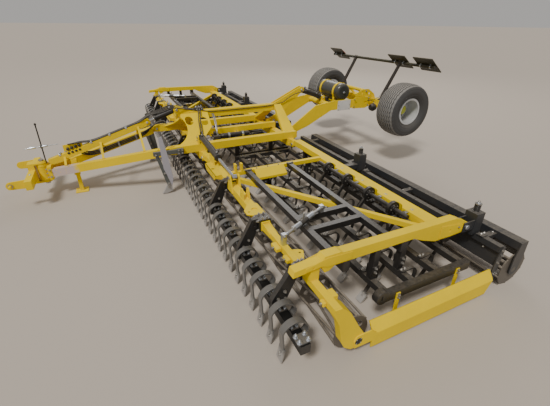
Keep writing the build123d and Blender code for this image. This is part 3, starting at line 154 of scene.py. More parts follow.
def finish(
    name, base, rough, metal=0.0, dust=0.5, shade=0.75, coat=0.0, spec=0.5, bump=0.15, bevel=0.004,
    patch=None, low=None, core=None, side=None,
):
    """A painted, rubber or bare surface with dust on what faces up, stains, and soft edges.

    patch = (centre, reach, colour) is a faded spot. low = (height, colour) is what the soil
    has polished below that height. core = ((x, z), half, colour) is a bar along Y inside other
    pieces. side = (y, colour) is what lies further out than y on either side.
    """
    made = bpy.data.materials.new(name)
    made.use_nodes = True
    tree = made.node_tree
    link = tree.links.new
    shader = tree.nodes["Principled BSDF"]
    fixed = {
        "Base Color": (*base, 1), "Metallic": metal, "Roughness": rough, "Coat Weight": coat,
        "Specular IOR Level": spec, "Coat Roughness": 0.15,
    }
    for socket, value in fixed.items():
        shader.inputs[socket].default_value = value
    place = node(tree, "ShaderNodeTexCoord")
    spot = place.outputs["Object"]
    broad = noise(tree, spot, 2.3)
    fine = noise(tree, spot, 34.0, 8.0, 0.7)
    grit = noise(tree, spot, 160.0, 4.0, 0.8)
    upward = ramp(tree, axes(tree, place.outputs["Normal"])["Z"], 0.15, 0.95)
    dark = tuple(channel * shade for channel in base)
    colour = mixed(tree, ramp(tree, broad, 0.35, 0.75), base, dark)
    if patch:
        centre, reach, pale = patch
        away = node(tree, "ShaderNodeVectorMath", operation="DISTANCE")
        link(spot, away.inputs[0])
        away.inputs[1].default_value = centre
        ragged = maths(tree, "MULTIPLY_ADD", noise(tree, spot, 9.0), reach, away.outputs["Value"])
        near = ramp(tree, ragged, reach * 1.45, reach * 1.1)
        colour = mixed(tree, maths(tree, "MULTIPLY", near, ramp(tree, fine, 0.3, 0.45)), colour, pale)
    if low:
        height, bare = low
        colour = mixed(tree, ramp(tree, axes(tree, spot)["Z"], height * 1.3, height * 0.7), colour, bare)
    if side:
        edge, outer = side
        wide = maths(tree, "ABSOLUTE", axes(tree, spot)["Y"])
        colour = mixed(tree, ramp(tree, wide, edge, edge + 0.0004), colour, outer)
    speck = ramp(tree, fine, 0.62, 0.74)
    colour = mixed(tree, maths(tree, "MULTIPLY", speck, 0.35 * dust), colour, DUST)
    settled = maths(tree, "MULTIPLY", upward, ramp(tree, fine, 0.25, 0.65))
    layer = maths(tree, "MULTIPLY", settled, dust)
    film = maths(tree, "MULTIPLY", ramp(tree, broad, 0.3, 0.8), dust * 0.35)
    colour = mixed(tree, layer, mixed(tree, film, colour, DUST), DUST)
    if core:
        middle, half, dark_core = core
        where = axes(tree, spot)
        far = [
            maths(tree, "ABSOLUTE", maths(tree, "SUBTRACT", where[axis], at))
            for axis, at in zip("XZ", middle)
        ]
        colour = mixed(tree, ramp(tree, maths(tree, "MAXIMUM", *far), half + 0.001, half), colour, dark_core)
    link(colour, shader.inputs["Base Color"])
    rougher = node(tree, "ShaderNodeMapRange", To_Min=rough, To_Max=min(1.0, rough + 0.5))
    link(layer, rougher.inputs["Value"])
    link(rougher.outputs["Result"], shader.inputs["Roughness"])
    dents = node(tree, "ShaderNodeBump", Strength=bump, Distance=0.002)
    link(grit, dents.inputs["Height"])
    if bevel:
        link(node(tree, "ShaderNodeBevel", samples=4, Radius=bevel).outputs["Normal"], dents.inputs["Normal"])
    link(dents.outputs["Normal"], shader.inputs["Normal"])
    return made


YELLOW = (0.86, 0.62, 0.0)
GLOSS = {"rough": 0.42, "dust": 0.05, "shade": 0.9, "spec": 0.12, "bump": 0.06}
BARE_SPOT = ((2.53, 0.175, 0.37), 0.24, (0.54, 0.44, 0.42))
POLISHED = (0.36, 0.35, 0.34)
LOOSENER_IN, LOOSENER_ARM, LOOSENER_OUT = 0.6999, 0.7402, 0.7481
LOOP_CORE = ((LOOP_X, LOOP_Z), LOOP_HALF + 0.0015, (0.012, 0.012, 0.012))
M = {
    "yellow": finish("paint_yellow", YELLOW, **GLOSS),
    "worn_beam": finish("paint_worn_off", YELLOW, **GLOSS, patch=BARE_SPOT),
    "black": finish("paint_black", (0.014, 0.014, 0.015), 0.36, dust=0.13, shade=0.7, coat=0.2),
    "tool": finish("paint_tool", (0.02, 0.02, 0.02), 0.4, dust=0.2, low=(0.085, POLISHED)),
    "loop": finish(
        "spring_loops", (0.17, 0.168, 0.163), 0.34, metal=0.35, dust=0.1, low=(0.11, (0.38, 0.37, 0.36)),
        core=LOOP_CORE,
    ),
    "loosener": finish(
        "loosener_paint", (0.095, 0.105, 0.1), 0.42, dust=0.22, low=(0.16, POLISHED),
        side=(LOOSENER_ARM, (0.4, 0.39, 0.44)),
    ),
    "roller": finish("roller_steel", (0.14, 0.125, 0.108), 0.55, metal=0.3, dust=0.45, shade=0.6, bump=0.3),
    "rear_tool": finish("rear_steel", (0.026, 0.029, 0.034), 0.42, dust=0.24),
    "post": finish("post_paint", (0.026, 0.021, 0.018), 0.4, dust=0.12),
    "tank": finish("tank_paint", (0.036, 0.041, 0.038), 0.3, dust=0.16, coat=0.3, bump=0.04),
    "chrome": finish("rod_chrome", (0.72, 0.73, 0.75), 0.1, metal=1.0, dust=0.06, bump=0.02, bevel=0),
    "zinc": finish("zinc_plate", (0.6, 0.64, 0.7), 0.3, metal=0.9, dust=0.15, bump=0.08),
    "bolt": finish("bolt_steel", (0.42, 0.41, 0.39), 0.35, metal=0.85, dust=0.22, bevel=0),
    "silver": finish("rim_silver", (0.62, 0.64, 0.66), 0.33, metal=0.25, dust=0.18, bump=0.05),
    "hub": finish("hub_paint", (0.55, 0.6, 0.03), 0.45, dust=0.3),
    "dark": finish("brake_iron", (0.018, 0.018, 0.018), 0.55, dust=0.25),
    "tyre": finish("tyre_rubber", (0.05, 0.051, 0.053), 0.68, dust=0.14, shade=0.8, bump=0.3, bevel=0),
    "tread": finish("tyre_tread", (0.2, 0.197, 0.193), 0.8, dust=0.2, shade=0.85, bump=0.3, bevel=0),
    "hose": finish("hose_rubber", (0.012, 0.012, 0.013), 0.42, dust=0.2, bump=0.1, bevel=0),
    "board": finish("board_back", (0.03, 0.028, 0.01), 0.5, dust=0.12),
    "red": finish("board_red", (0.45, 0.012, 0.008), 0.35, dust=0.15, bump=0.03),
    "white": finish("board_white", (0.72, 0.72, 0.71), 0.35, dust=0.2, bump=0.03),
    "amber": finish("lens_amber", (0.75, 0.2, 0.005), 0.18, dust=0.1, coat=0.6, bump=0.03),
}
BY_SLOT = {
    "yellow_paint": "yellow", "black_paint": "black", "worn_steel": "roller", "zinc_steel": "zinc",
    "chrome": "chrome", "tyre": "tyre", "silver_paint": "silver",
}
SLOT_OF = {key: slot for slot, key in BY_SLOT.items()}
SLOT_OF |= {"rear_tool": "black_paint", "post": "black_paint", "bolt": "zinc_steel"}
# Nodes whose finish differs from their slot's usual one
OWN_FINISH = {
    "wing_tines": "tool", "centre_tines": "tool", "track_looseners": "loosener", "wing_level_tines": "loop",
    "wing_rear_frame": "rear_tool", "rear_roller": "roller", "light_posts": "post", "light_bar": "board",
    "air_tank": "tank", "drawbar_beam_left": "worn_beam",
}


def dress_frame():
    """Give each node the finish of its slot, or its own one."""
    for part in frame["record"]["subparts"]:
        key = BY_SLOT[part["material_slot"]]
        for start, own in OWN_FINISH.items():
            if part["node"].startswith(start):
                key = own
        mesh = frame["nodes"][part["node"]]
        mesh.data.materials.clear()
        mesh.data.materials.append(M[key])


# Small pieces, gathered into one mesh for each body and material
BATCHES = {}


def turn_to(axis):
    """Rotation that takes +Z to an axis."""
    return Z.rotation_difference(Vector(axis)).to_matrix()


def ring_faces(rows, steps, hollow=False, caps=True):
    """Faces between rings of points; hollow joins the last ring to the first."""
    faces = []
    for row in range(rows if hollow else rows - 1):
        for step in range(steps):
            after = (step + 1) % steps
            low, high = row * steps, (row + 1) % rows * steps
            faces.append((low + step, low + after, high + after, high + step))
    if caps and not hollow:
        faces += [tuple(range(steps)), tuple(range((rows - 1) * steps, rows * steps))]
    return faces


class Piece:
    """Adds shapes to the mesh of one body, mirrored for the right side."""

    def __init__(self, body, side=1):
        self.body = body
        self.side = side

    def put(self, key, points, faces):
        verts, polys = BATCHES.setdefault((self.body, key), ([], []))
        start = len(verts)
        verts.extend((p[0], p[1] * self.side, p[2]) for p in points)
        polys.extend(tuple(start + index for index in face) for face in faces)

    def lathe(self, key, at, axis, profile, steps=24, hollow=False):
        """Revolve (radius, height) points around an axis."""
        turn = turn_to(axis)
        points = []
        for radius, height in profile:
            for step in range(steps):
                angle = 2 * pi * step / steps
                points.append(Vector(at) + turn @ Vector((radius * cos(angle), radius * sin(angle), height)))
        self.put(key, points, ring_faces(len(profile), steps, hollow))

    def fitting(self, at, axis, *profile):
        """A hexagonal zinc-plated fitting; its profile is in millimetres."""
        self.lathe("zinc", at, axis, pairs(*profile), 6)

    def bolt(self, at, axis, size=0.024, key="bolt"):
        """A washer with a hexagon head and the thread's end; size is across the corners."""
        half, thick = size / 2, size * 0.14
        head, end = ((1, 0), (1, 0.95), (0.8, 1.15)), ((0.48, 1), (0.48, 1.7), (0.36, 1.8))
        self.lathe(key, at, axis, ((half * 1.35, 0), (half * 1.35, thick)), 14)
        for profile, steps in ((head, 6), (end, 10)):
            self.lathe(key, at, axis, [(half * out, thick + half * up) for out, up in profile], steps)

    def bolts(self, axis, size, xs, ys, zs, key="bolt"):
        """Bolts at each place of a grid, whose x, y and z are each a number or several."""
        for at in product(*(span if isinstance(span, tuple) else (span,) for span in (xs, ys, zs))):
            self.bolt(at, axis, size, key)

    def pin(self, at, axis, radius, height, key="bolt"):
        """A pin's end with a chamfer."""
        edge = min(0.004, radius * 0.3)
        self.lathe(key, at, axis, ((radius, 0), (radius, height - edge), (radius - edge, height)))

    def boss(self, at, axis, collar, pin, steps=26):
        """A collar (outer radius, thickness, inner radius, top) round a pin's end (radius, height)."""
        outer, thick, inner, top = collar
        self.lathe("yellow", at, axis, ((outer, 0), (outer, thick), (inner, top)), steps)
        self.pin(Vector(at) + Vector(axis) * thick, axis, *pin, "zinc")

    def box(self, key, low, high, edge=0.003):
        """A box with chamfered edges between two corners."""
        self.block(key, (Vector(low) + Vector(high)) / 2, Vector(high) - Vector(low), edge)

    def block(self, key, at, size, edge=0.003, turn=LEVEL):
        """A box with chamfered edges around a place, turned or level."""
        edge = min(edge, *(0.2 * length for length in size))
        made = bmesh.new()
        bmesh.ops.create_cube(made, size=1)
        for vert in made.verts:
            vert.co = Vector(a * b for a, b in zip(vert.co, size))
        bmesh.ops.bevel(made, geom=made.edges[:], offset=edge, segments=1, affect="EDGES")
        made.verts.index_update()
        points = [Vector(at) + turn @ vert.co for vert in made.verts]
        faces = [tuple(vert.index for vert in face.verts) for face in made.faces]
        made.free()
        self.put(key, points, faces)

    def plate(self, lay, outline, low, high, holes=(), key="yellow"):
        """An outline with round holes between two heights; lay turns (u, v, height) into a place."""
        rings = [[Vector((u, v, 0)) for u, v in outline]]
        for u, v, radius in holes:
            angles = [pi * k / 10 for k in range(20)]
            rings.append([Vector((u + radius * cos(angle), v + radius * sin(angle), 0)) for angle in angles])
        flat = [point for ring in rings for point in ring]
        count = len(flat)
        points = [lay(point.x, point.y, height) for height in (low, high) for point in flat]
        triangles = tessellate_polygon(rings)
        faces = [tuple(face) for face in triangles]
        faces += [tuple(count + index for index in reversed(face)) for face in triangles]
        start = 0
        for ring in rings:
            for index in range(len(ring)):
                a, b = start + index, start + (index + 1) % len(ring)
                faces.append((a, b, count + b, count + a))
            start += len(ring)
        self.put(key, points, faces)

    def coil(self, key, at, axis, radius, wire, height, turns):
        """A helical spring that stands on a place."""
        turn = turn_to(axis)
        steps, sides = int(turns * 20), 8
        points = []
        for step in range(steps + 1):
            angle = 2 * pi * turns * step / steps
            out = Vector((cos(angle), sin(angle), 0))
            middle = out * radius + Z * (height * step / steps)
            for side in range(sides):
                swing = 2 * pi * side / sides
                points.append(Vector(at) + turn @ (middle + wire * (out * cos(swing) + Z * sin(swing))))
        self.put(key, points, ring_faces(steps + 1, sides))

    def bead(self, start, end, size=0.007):
        """A weld bead along a straight seam."""
        run = Vector(end) - Vector(start)
        lumps, sides = max(2, int(run.length / 0.012)), 6
        turn = turn_to(run)
        points = []
        for lump in range(lumps + 1):
            middle = Vector(start) + run * (lump / lumps)
            swell = size * (1 if lump % 2 else 0.8)
            for side in range(sides):
                swing = 2 * pi * side / sides
                points.append(middle + turn @ Vector((swell * cos(swing), swell * sin(swing), 0)))
        self.put("yellow", points, ring_faces(lumps + 1, sides))


def both(body):
    """A body's left and right halves."""
    return Piece(body), Piece(body, -1)


def place_object(name, data):
    """Put new data into the scene as an object."""
    made = bpy.data.objects.new(name, data)
    bpy.context.collection.objects.link(made)
    return made


def mesh_of(name, points, faces, sharp, *keys):
    """A smooth mesh with outward faces, edges sharp from an angle, and its materials."""
    mesh = bpy.data.meshes.new(name)
    mesh.from_pydata([tuple(point) for point in points], [], faces)
    made = bmesh.new()
    made.from_mesh(mesh)
    bmesh.ops.recalc_face_normals(made, faces=made.faces[:])
    made.to_mesh(mesh)
    made.free()
    mesh.shade_smooth()
    mesh.set_sharp_from_angle(angle=radians(sharp))
    for key in keys:
        mesh.materials.append(M[key])
    return mesh


def build_batches():
    """Make one object of each batch and let it ride on its body."""
    for (body, key), (verts, polys) in BATCHES.items():
        name = f"{body}_{key}_details"
        piece = place_object(name, mesh_of(name, verts, polys, 32, key))
        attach(piece, body)


def hose(name, points, radius, body="", across=(), key="hose"):
    """A smooth line of hose or pipe; with across = (body, body, start, end) it is made a fixed mesh on no
    body, and the bodies and places in across are not used.
    """
    curve = bpy.data.curves.new(name, "CURVE")
    curve.dimensions = "3D"
    curve.bevel_depth = radius
    curve.bevel_resolution = 3
    curve.resolution_u = 6
    curve.use_fill_caps = True
    spline = curve.splines.new("NURBS")
    spline.points.add(len(points) - 1)
    for point, place in zip(spline.points, points):
        point.co = (*place, 1)
    spline.order_u = 3
    spline.use_endpoint_u = True
    curve.materials.append(M[key])
    piece = place_object(name, curve)
    if across:
        mesh = bpy.data.meshes.new_from_object(piece)
        bpy.data.objects.remove(piece)
        piece = place_object(name, mesh)
        mesh.shade_smooth()
        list(across)
        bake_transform(piece)
    else:
        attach(piece, body)


def lay_side(y, side=1):
    """For plates in a side view: (u, v) is (x, z), and the height runs along Y."""
    return lambda u, v, height: Vector((u, y + height * side, v))


def lay_flat(z):
    """For plates that lie flat: (u, v) is (x, y)."""
    return lambda u, v, height: Vector((u, v, z + height))


def lay_front(x):
    """For plates in a front view: (u, v) is (y, z), and the height runs along X."""
    return lambda u, v, height: Vector((x + height, u, v))


def rect(a, b, c, d):
    """Outline of a rectangle between (a, b) and (c, d)."""
    return [(a, b), (c, b), (c, d), (a, d)]


def around(count, at, radius):
    """Places round a hub whose axis runs along Y."""
    angles = [2 * pi * step / count for step in range(count)]
    return [Vector(at) + Vector((radius * cos(angle), 0, radius * sin(angle))) for angle in angles]


def flange(piece, at, axis, radius, key="dark", low=False):
    """A bearing housing with a dust cap and four bolts; the low one lies flush."""
    turn = turn_to(axis)
    ring = ((1.0, 0), (1.0, 0.008), (0.82, 0.014), (0.62, 0.016), (0.55, 0.026), (0.35, 0.03))
    rise = 0.02 if low else 1.0
    piece.lathe(key, at, axis, [(radius * part, high * rise) for part, high in ring], 28)
    for step in range(4):
        angle = pi / 4 + pi * step / 2
        out = turn @ Vector((cos(angle), sin(angle), 0)) * radius * 0.8
        spot = Vector(at) + out + Vector(axis) * 0.009 * rise
        if low:
            piece.fitting(spot, axis, 6.5, 0, 6.5, 0.5, 5, 0.6)
        else:
            piece.bolt(spot, axis, 0.017)


def loop_clamp(piece, y):
    """Saddle, nuts and share bolts of a looped spring."""
    top = LOOP_Z + LOOP_HALF
    piece.box("black", (LOOP_X - 0.034, y - 0.024, top + 0.0003), (LOOP_X + 0.034, y + 0.024, top + 0.009))
    piece.bolts(Z, 0.022, (LOOP_X - 0.022, LOOP_X + 0.022), y, top + 0.009, "zinc")
    for height in (-0.168, -0.196):
        piece.bolt((LOOP_X + 0.099 - height * 0.06, y, LOOP_Z + height), (1, 0, -0.1), 0.017)


# Front tools and front beam of a wing
def wing_front(piece):
    for y in ARM_YS:
        stout = y < 3
        half = STOUT_HALF if stout else SLIM_HALF
        low, top = (STOUT_LOW, BEAM_TOP) if stout else (SLIM_LOW, SLIM_TOP)
        rear, root = FRONT_X - half - 0.015, FRONT_X + half + 0.025
        ys = (y - 0.044, y + 0.044)
        piece.box("black", (rear, y - 0.06, low - 0.02), (rear + 0.0145, y + 0.06, top - 0.0005))
        piece.bolts(X, 0.025, root - 0.005, ys, (low - 0.006, top + 0.006))
        piece.bolts(-X, 0.025, rear, ys, (low + 0.01, top - 0.012))
        piece.bolts(Z, 0.024, (FRONT_X - half * 0.6, FRONT_X + half * 0.5), ys, top + 0.02)
        ribs = [(root, low + 0.005), (root, top + 0.012), (root + 0.042, top + 0.012)]
        ribs += [(root + 0.07, top - 0.05), (root + 0.058, low + 0.015)]
        hole = [(root + 0.028, top - 0.042, 0.01)]
        for side in BOTH:
            face = y + side * 0.025
            piece.plate(lay_side(face, side), ribs, 0.0002, 0.006, hole, "black")
            for x, z in pairs(812, 405, 868, 345, 805, 330):
                piece.bolt((x, face, z), side * Y, 0.022)
    for index in range(LOOP_COUNT):
        y = LOOP_FIRST + index * LOOP_PITCH
        loop_clamp(piece, y)
        piece.bolts(-Z, 0.02, (LOOP_X - 0.0198, LOOP_X + 0.0198), y, LOOP_Z - LOOP_HALF - 0.0115)
    piece.bolts(Z, 0.03, (LOOP_X - 0.036, LOOP_X + 0.036), (4.018, 4.072), LOOP_Z + LOOP_HALF + 0.014, "zinc")
    cap = rect(LOOP_X - LOOP_HALF, LOOP_Z - LOOP_HALF, LOOP_X + LOOP_HALF, LOOP_Z + LOOP_HALF)
    piece.plate(lay_side(4.1), cap, 0.0003, 0.004, key="black")
    # lugs on top of the beam and the bearing at its end
    for y, tall in pairs(1240, 75, 1360, 75, 2420, 85):
        eye = BEAM_TOP + tall
        outline = [(y - 0.055, BEAM_TOP), (y + 0.055, BEAM_TOP)]
        outline += [(y + 0.032 * cos(pi * k / 8), eye + 0.032 * sin(pi * k / 8)) for k in range(9)]
        for x in (-0.04, 0.028):
            piece.plate(lay_front(FRONT_X + x), outline, 0, 0.012, [(y, eye, 0.014)])
    flange(piece, (SLANT_X, SIDE_Y, SLANT_Z), Y, 0.034, low=True)
    # brackets on the beam
    edge, slim = FRONT_X + STOUT_HALF, FRONT_X + SLIM_HALF
    shelf = pairs(1270, 598, 1270, 560, 1330, 522, 1690, 522, 1730, 560, 1730, 598)
    piece.plate(lay_front(edge), shelf, 0.074, 0.082, trios(1400, 560, 16, 1620, 560, 16))
    lid = rect(edge + 0.0003, 1.27, edge + 0.0815, 1.73)
    piece.plate(lay_flat(0.59), lid, 0, 0.008, [(edge + 0.04, 1.5, 0.022)])
    for y in (1.272, 1.5, 1.72):
        end = [(edge, 0.53), (edge + 0.074, 0.555), (edge + 0.074, 0.59), (edge, 0.59)]
        piece.plate(lay_side(y), end, 0, 0.008)
    flare = pairs(590, 2600, 640, 2560, 706, 2600, 768, 2690, 768, 2775, 706, 2820, 590, 2820)
    piece.plate(lay_flat(BEAM_TOP), flare, 0.0003, 0.01, trios(662, 2705, 30, 730, 2735, 13))
    prop = [(edge, 0.53), (edge + 0.066, 0.58), (edge + 0.066, 0.6), (edge, 0.6)]
    piece.plate(lay_side(2.728), prop, 0, 0.008)
    web = pairs(620, 3405, 620, 3625, 560, 3520, 530, 3455, 560, 3425)
    piece.plate(lay_flat(0.562), web, 0, 0.008, trios(572, 3470, 11))
    for y, wide, reach in trios(3240, 110, 50, 3440, 80, 38, 3990, 50, 30):
        piece.box("yellow", (slim + 0.0003, y, 0.53), (slim + reach, y + wide, 0.566), 0.004)
        piece.bolt((slim + reach, y + wide / 2, 0.548), X, 0.02)
    piece.box("yellow", (FRONT_X - 0.078, 3.94, 0.53), (FRONT_X - SLIM_HALF - 0.0003, 4.02, 0.578), 0.004)
    piece.bolt((FRONT_X - 0.078, 3.98, 0.555), -X, 0.024)
    for half, y, z, size in pairs(40, 1010, 601, 5, 28, 2966, 581, 5, 28, 4126, 579, 4, each=4):
        piece.bead((FRONT_X - half, y, z), (FRONT_X + half, y, z), size)


# Fold pins of both beams, with keeper plates, and the fold cylinder's ends
def fold_joint(piece, wing):
    for x in (FRONT_X, REAR_X):
        for way in BOTH:
            at = Vector((x + way * FORK_HALF, FOLD_Y, FOLD_Z))
            wing.lathe("yellow", at, way * X, pairs(40, 0, 40, 6, 24, 8), 28)
            piece.pin(at, way * X, 0.0215, 0.016, "zinc")
            piece.block("zinc", at + Vector((way * 0.0115, -0.025, 0)), (0.005, 0.05, 0.016), 0.001)
    for way in BOTH:
        at = Vector(FOLD_BASE) + way * X * 0.055
        piece.pin(at, way * X, 0.022, 0.01)
        piece.bolt(at - Z * 0.044, way * X, 0.018)
        wing.pin(Vector(FOLD_TIP) + way * X * 0.06, way * X, 0.021, 0.01)


def cylinder_trim(piece, base, tip, barrel, end, port_side):
    """Gland nut, end weld and hose ports of a hydraulic cylinder."""
    at, port_side = Vector(base), Vector(port_side)
    axis = (Vector(tip) - at).normalized()
    rim = barrel + 0.006
    gland = (
        (rim, -0.004), (rim + 0.003, 0), (rim + 0.003, 0.018), (rim - 0.004, 0.022), (barrel * 0.62, 0.023),
    )
    piece.lathe("black", at + axis * (end - 0.02), axis, gland, 28)
    for along in (0.085, end - 0.055):
        port = at + axis * along + port_side * (barrel - 0.004)
        piece.lathe("black", port, port_side, pairs(16, 0, 16, 16, 13, 18), 16)
        piece.fitting(port + port_side * 0.018, port_side, 14, 0, 14, 14, 10, 18)
    weld = ((barrel + 0.003, 0), (barrel + 0.005, 0.004), (barrel + 0.003, 0.008))
    piece.lathe("black", at + axis * 0.066, axis, weld, 28)


# Tine frame, tines, turnbuckle and outer beam of a wing
def tine_ys(row, low, high):
    """Places of one row's tines, staggered against the rows before it."""
    first = low + 0.06 + ((row * 2) % 4 + row // 2) * TINE_STAGGER
    count = int((high - 0.04 - first) // TINE_PITCH) + 1
    return [first + index * TINE_PITCH for index in range(count)]


def tine_clamps(piece, low, high):
    """Saddles with two nuts on the bars, and the shares' bolts."""
    top = TINE_BAR_TOP + 0.012
    for row, x in enumerate(TINE_ROWS):
        for y in tine_ys(row, low, high):
            piece.box("black", (x - 0.034, y - 0.026, top + 0.0003), (x + 0.03, y + 0.026, top + 0.009))
            piece.bolts(Z, 0.021, (x - 0.02, x + 0.018), y, top + 0.009)
            for along, z in pairs(-52, 77, -36, 58):
                piece.bolt((x + along, y, z), (0.75, 0, 0.66), 0.016)


def wing_middle(piece):
    tine_clamps(piece, 0.64, 3.96)
    # U-bolts and plates where the hangers meet the beams
    for row, y in ((0, OUTER_Y), (1, OUTER_Y), (0, RAIL_Y), (2, RAIL_Y)):
        x = TINE_ROWS[row]
        for side in BOTH:
            piece.box("black", (x - 0.034, y + side * 0.0283, 0.42), (x + 0.034, y + side * 0.036, 0.5))
            piece.bolts(side * Y, 0.022, x, y + side * 0.036, (0.438, 0.482))
    for x, y in product((0.36, -0.23), (OUTER_Y - 0.075, RAIL_Y + 0.055)):
        piece.bolts(Z, 0.02, (x - 0.036, x + 0.036), y, 0.6205)
        piece.box("black", (x - 0.048, y - 0.018, 0.6203), (x + 0.048, y + 0.018, 0.6285))
    # discs' hubs on the rear shaft, with the light rods that carry it
    hub = pairs(52, 0, 52, 6, 36, 10, 36, 22, 24.5, 24)
    for y in (2.02, 2.43, 2.83, 3.21):
        for side in BOTH:
            piece.lathe("black", (-0.69, y + side * 0.018, 0.56), side * Y, hub)
            for spot in around(5, (-0.69, y + side * 0.024, 0.56), 0.044):
                piece.bolt(spot, side * Y, 0.012)
        for across in (0.15, 0.17):
            piece.lathe("zinc", (-0.69, y + across, 0.585), (-1, 0, 0.12), pairs(6, 0, 6, 115), 10)
    # round rest at the front of the tine frame's side bar
    ring = pairs(62, 0, 66, 4, 66, 58, 62, 62, 30, 62.2, 30, 56)
    piece.lathe("black", (0.115, 3.959, 0.345), Y, ring, 28)
    # side plate: bolts of its brackets, and the seam of its folded edge
    piece.bolts(Y, 0.02, (-0.74, -0.04), 4.03, (0.307, 0.337))
    piece.bolts(Z, 0.018, (-0.74, -0.04), (4.07, 4.11), 0.142)
    piece.bolts(-Y, 0.014, (-0.752, -0.728, -0.052, -0.028), SIDE_Y - 0.0122, 0.112)
    piece.bolts(-Y, 0.018, (0.245, 0.275), SIDE_Y - 0.0122, 0.13)
    piece.bead((-0.9, SIDE_Y - 0.065, 0.2462), (0.28, SIDE_Y - 0.065, 0.2462), 0.004)
    # outer beam: the lug's pin, the saddle's welds, plates beside the deep part's front
    fish = pairs(330, 682, 330, 752, 560, 762, 735, 722, 735, 690, 600, 700, 545, 680)
    doubler = pairs(-640, 572, -640, 700, -880, 672, -930, 640, -930, 585, -800, 565)
    for side in BOTH:
        piece.pin((-0.985, OUTER_Y + side * 0.052, 0.61), side * Y, 0.024, 0.012, "zinc")
        weld = OUTER_Y + side * 0.036
        piece.bead((0.615, weld, SLIM_TOP + 0.001), (0.685, weld, SLIM_TOP + 0.001), 0.004)
        face = OUTER_Y + side * OUTER_HALF
        piece.plate(lay_side(face, side), fish, 0.0002, 0.006, trios(670, 708, 10))
        piece.plate(lay_side(face, side), doubler, 0.0002, 0.006, trios(-760, 632, 12))
        piece.bolt((-0.87, face, 0.64), side * Y, 0.02)
    # turnbuckle: lock nuts, grips and end pins
    start, end = Vector((0.52, 3.264, 0.668)), Vector((0.24, 3.117, 0.668))
    run = (end - start).normalized()
    for at, way in ((start, -run), (end, run)):
        piece.lathe("bolt", at, way, pairs(28, -4, 28, 18, 24, 22), 6)
        for lap in range(9):
            ridge = at + way * (0.026 + lap * 0.007)
            piece.lathe("bolt", ridge, way, pairs(14.5, 0, 17.2, 2, 17.2, 4, 14.5, 6), 14)
    middle = (start + end) / 2
    piece.lathe("black", middle - run * 0.055, run, pairs(26.2, 0, 30, 6, 30, 104, 26.2, 110), 20)
    piece.lathe("bolt", middle, Z, pairs(7, 20, 7, 85, 5, 87), 12)
    for x, y in ((FRONT_X, 3.325), (0.09, 3.035)):
        for side in BOTH:
            piece.pin((x, y + side * 0.0198, 0.668), side * Y, 0.014, 0.012)
    # guard panel's bolts
    piece.bolts(Z, 0.016, (-0.08, 0.075, 0.23), RAIL_Y + 0.016, 0.6102)


SPRING_X = -1.135


def wing_rear(piece):
    # bearing of the rear roller near the fold
    flange(piece, (REAR_ROLLER_X, 0.48, REAR_ROLLER_Z), -Y, 0.06)
    # nuts of the end plate, clamps on the tube and springs on the brackets
    for x, z in pairs(-1165, 200, -1198, 200, -1165, 330, -1198, 400, -1178, 462):
        piece.bolt((x, 4.107, z), Y, 0.02)
    for y in (2.1, OUTER_Y):
        piece.bolts(-X, 0.024, -1.19, (y - 0.04, y + 0.04), (0.545, 0.675))
        for side in BOTH:
            foot = y + side * 0.105
            piece.box("rear_tool", (-1.214, foot - 0.03, 0.5003), (-1.136, foot + 0.03, 0.512))
            piece.bolts(Z, 0.024, (-1.196, -1.154), foot, 0.512)
        piece.lathe("bolt", (SPRING_X, y, 0.7202), Z, pairs(10, 0, 10, 105, 8, 108), 12)
        piece.coil("black", (SPRING_X, y, 0.728), Z, 0.024, 0.0055, 0.062, 5.5)
        for z in (0.7205, 0.796):
            piece.lathe("bolt", (SPRING_X, y, z), Z, pairs(32, 0, 32, 5), 20)
        piece.fitting((SPRING_X, y, 0.801), Z, 17, 0, 17, 13, 14, 15)
    for index in range(4):
        piece.bolts(Z, 0.018, (-1.345, -1.235), 0.71 + index * 1.06, 0.4802)
    for index in range(11):
        piece.bolt((-1.1758, 0.64 + index * 0.33, 0.4), X, 0.016)


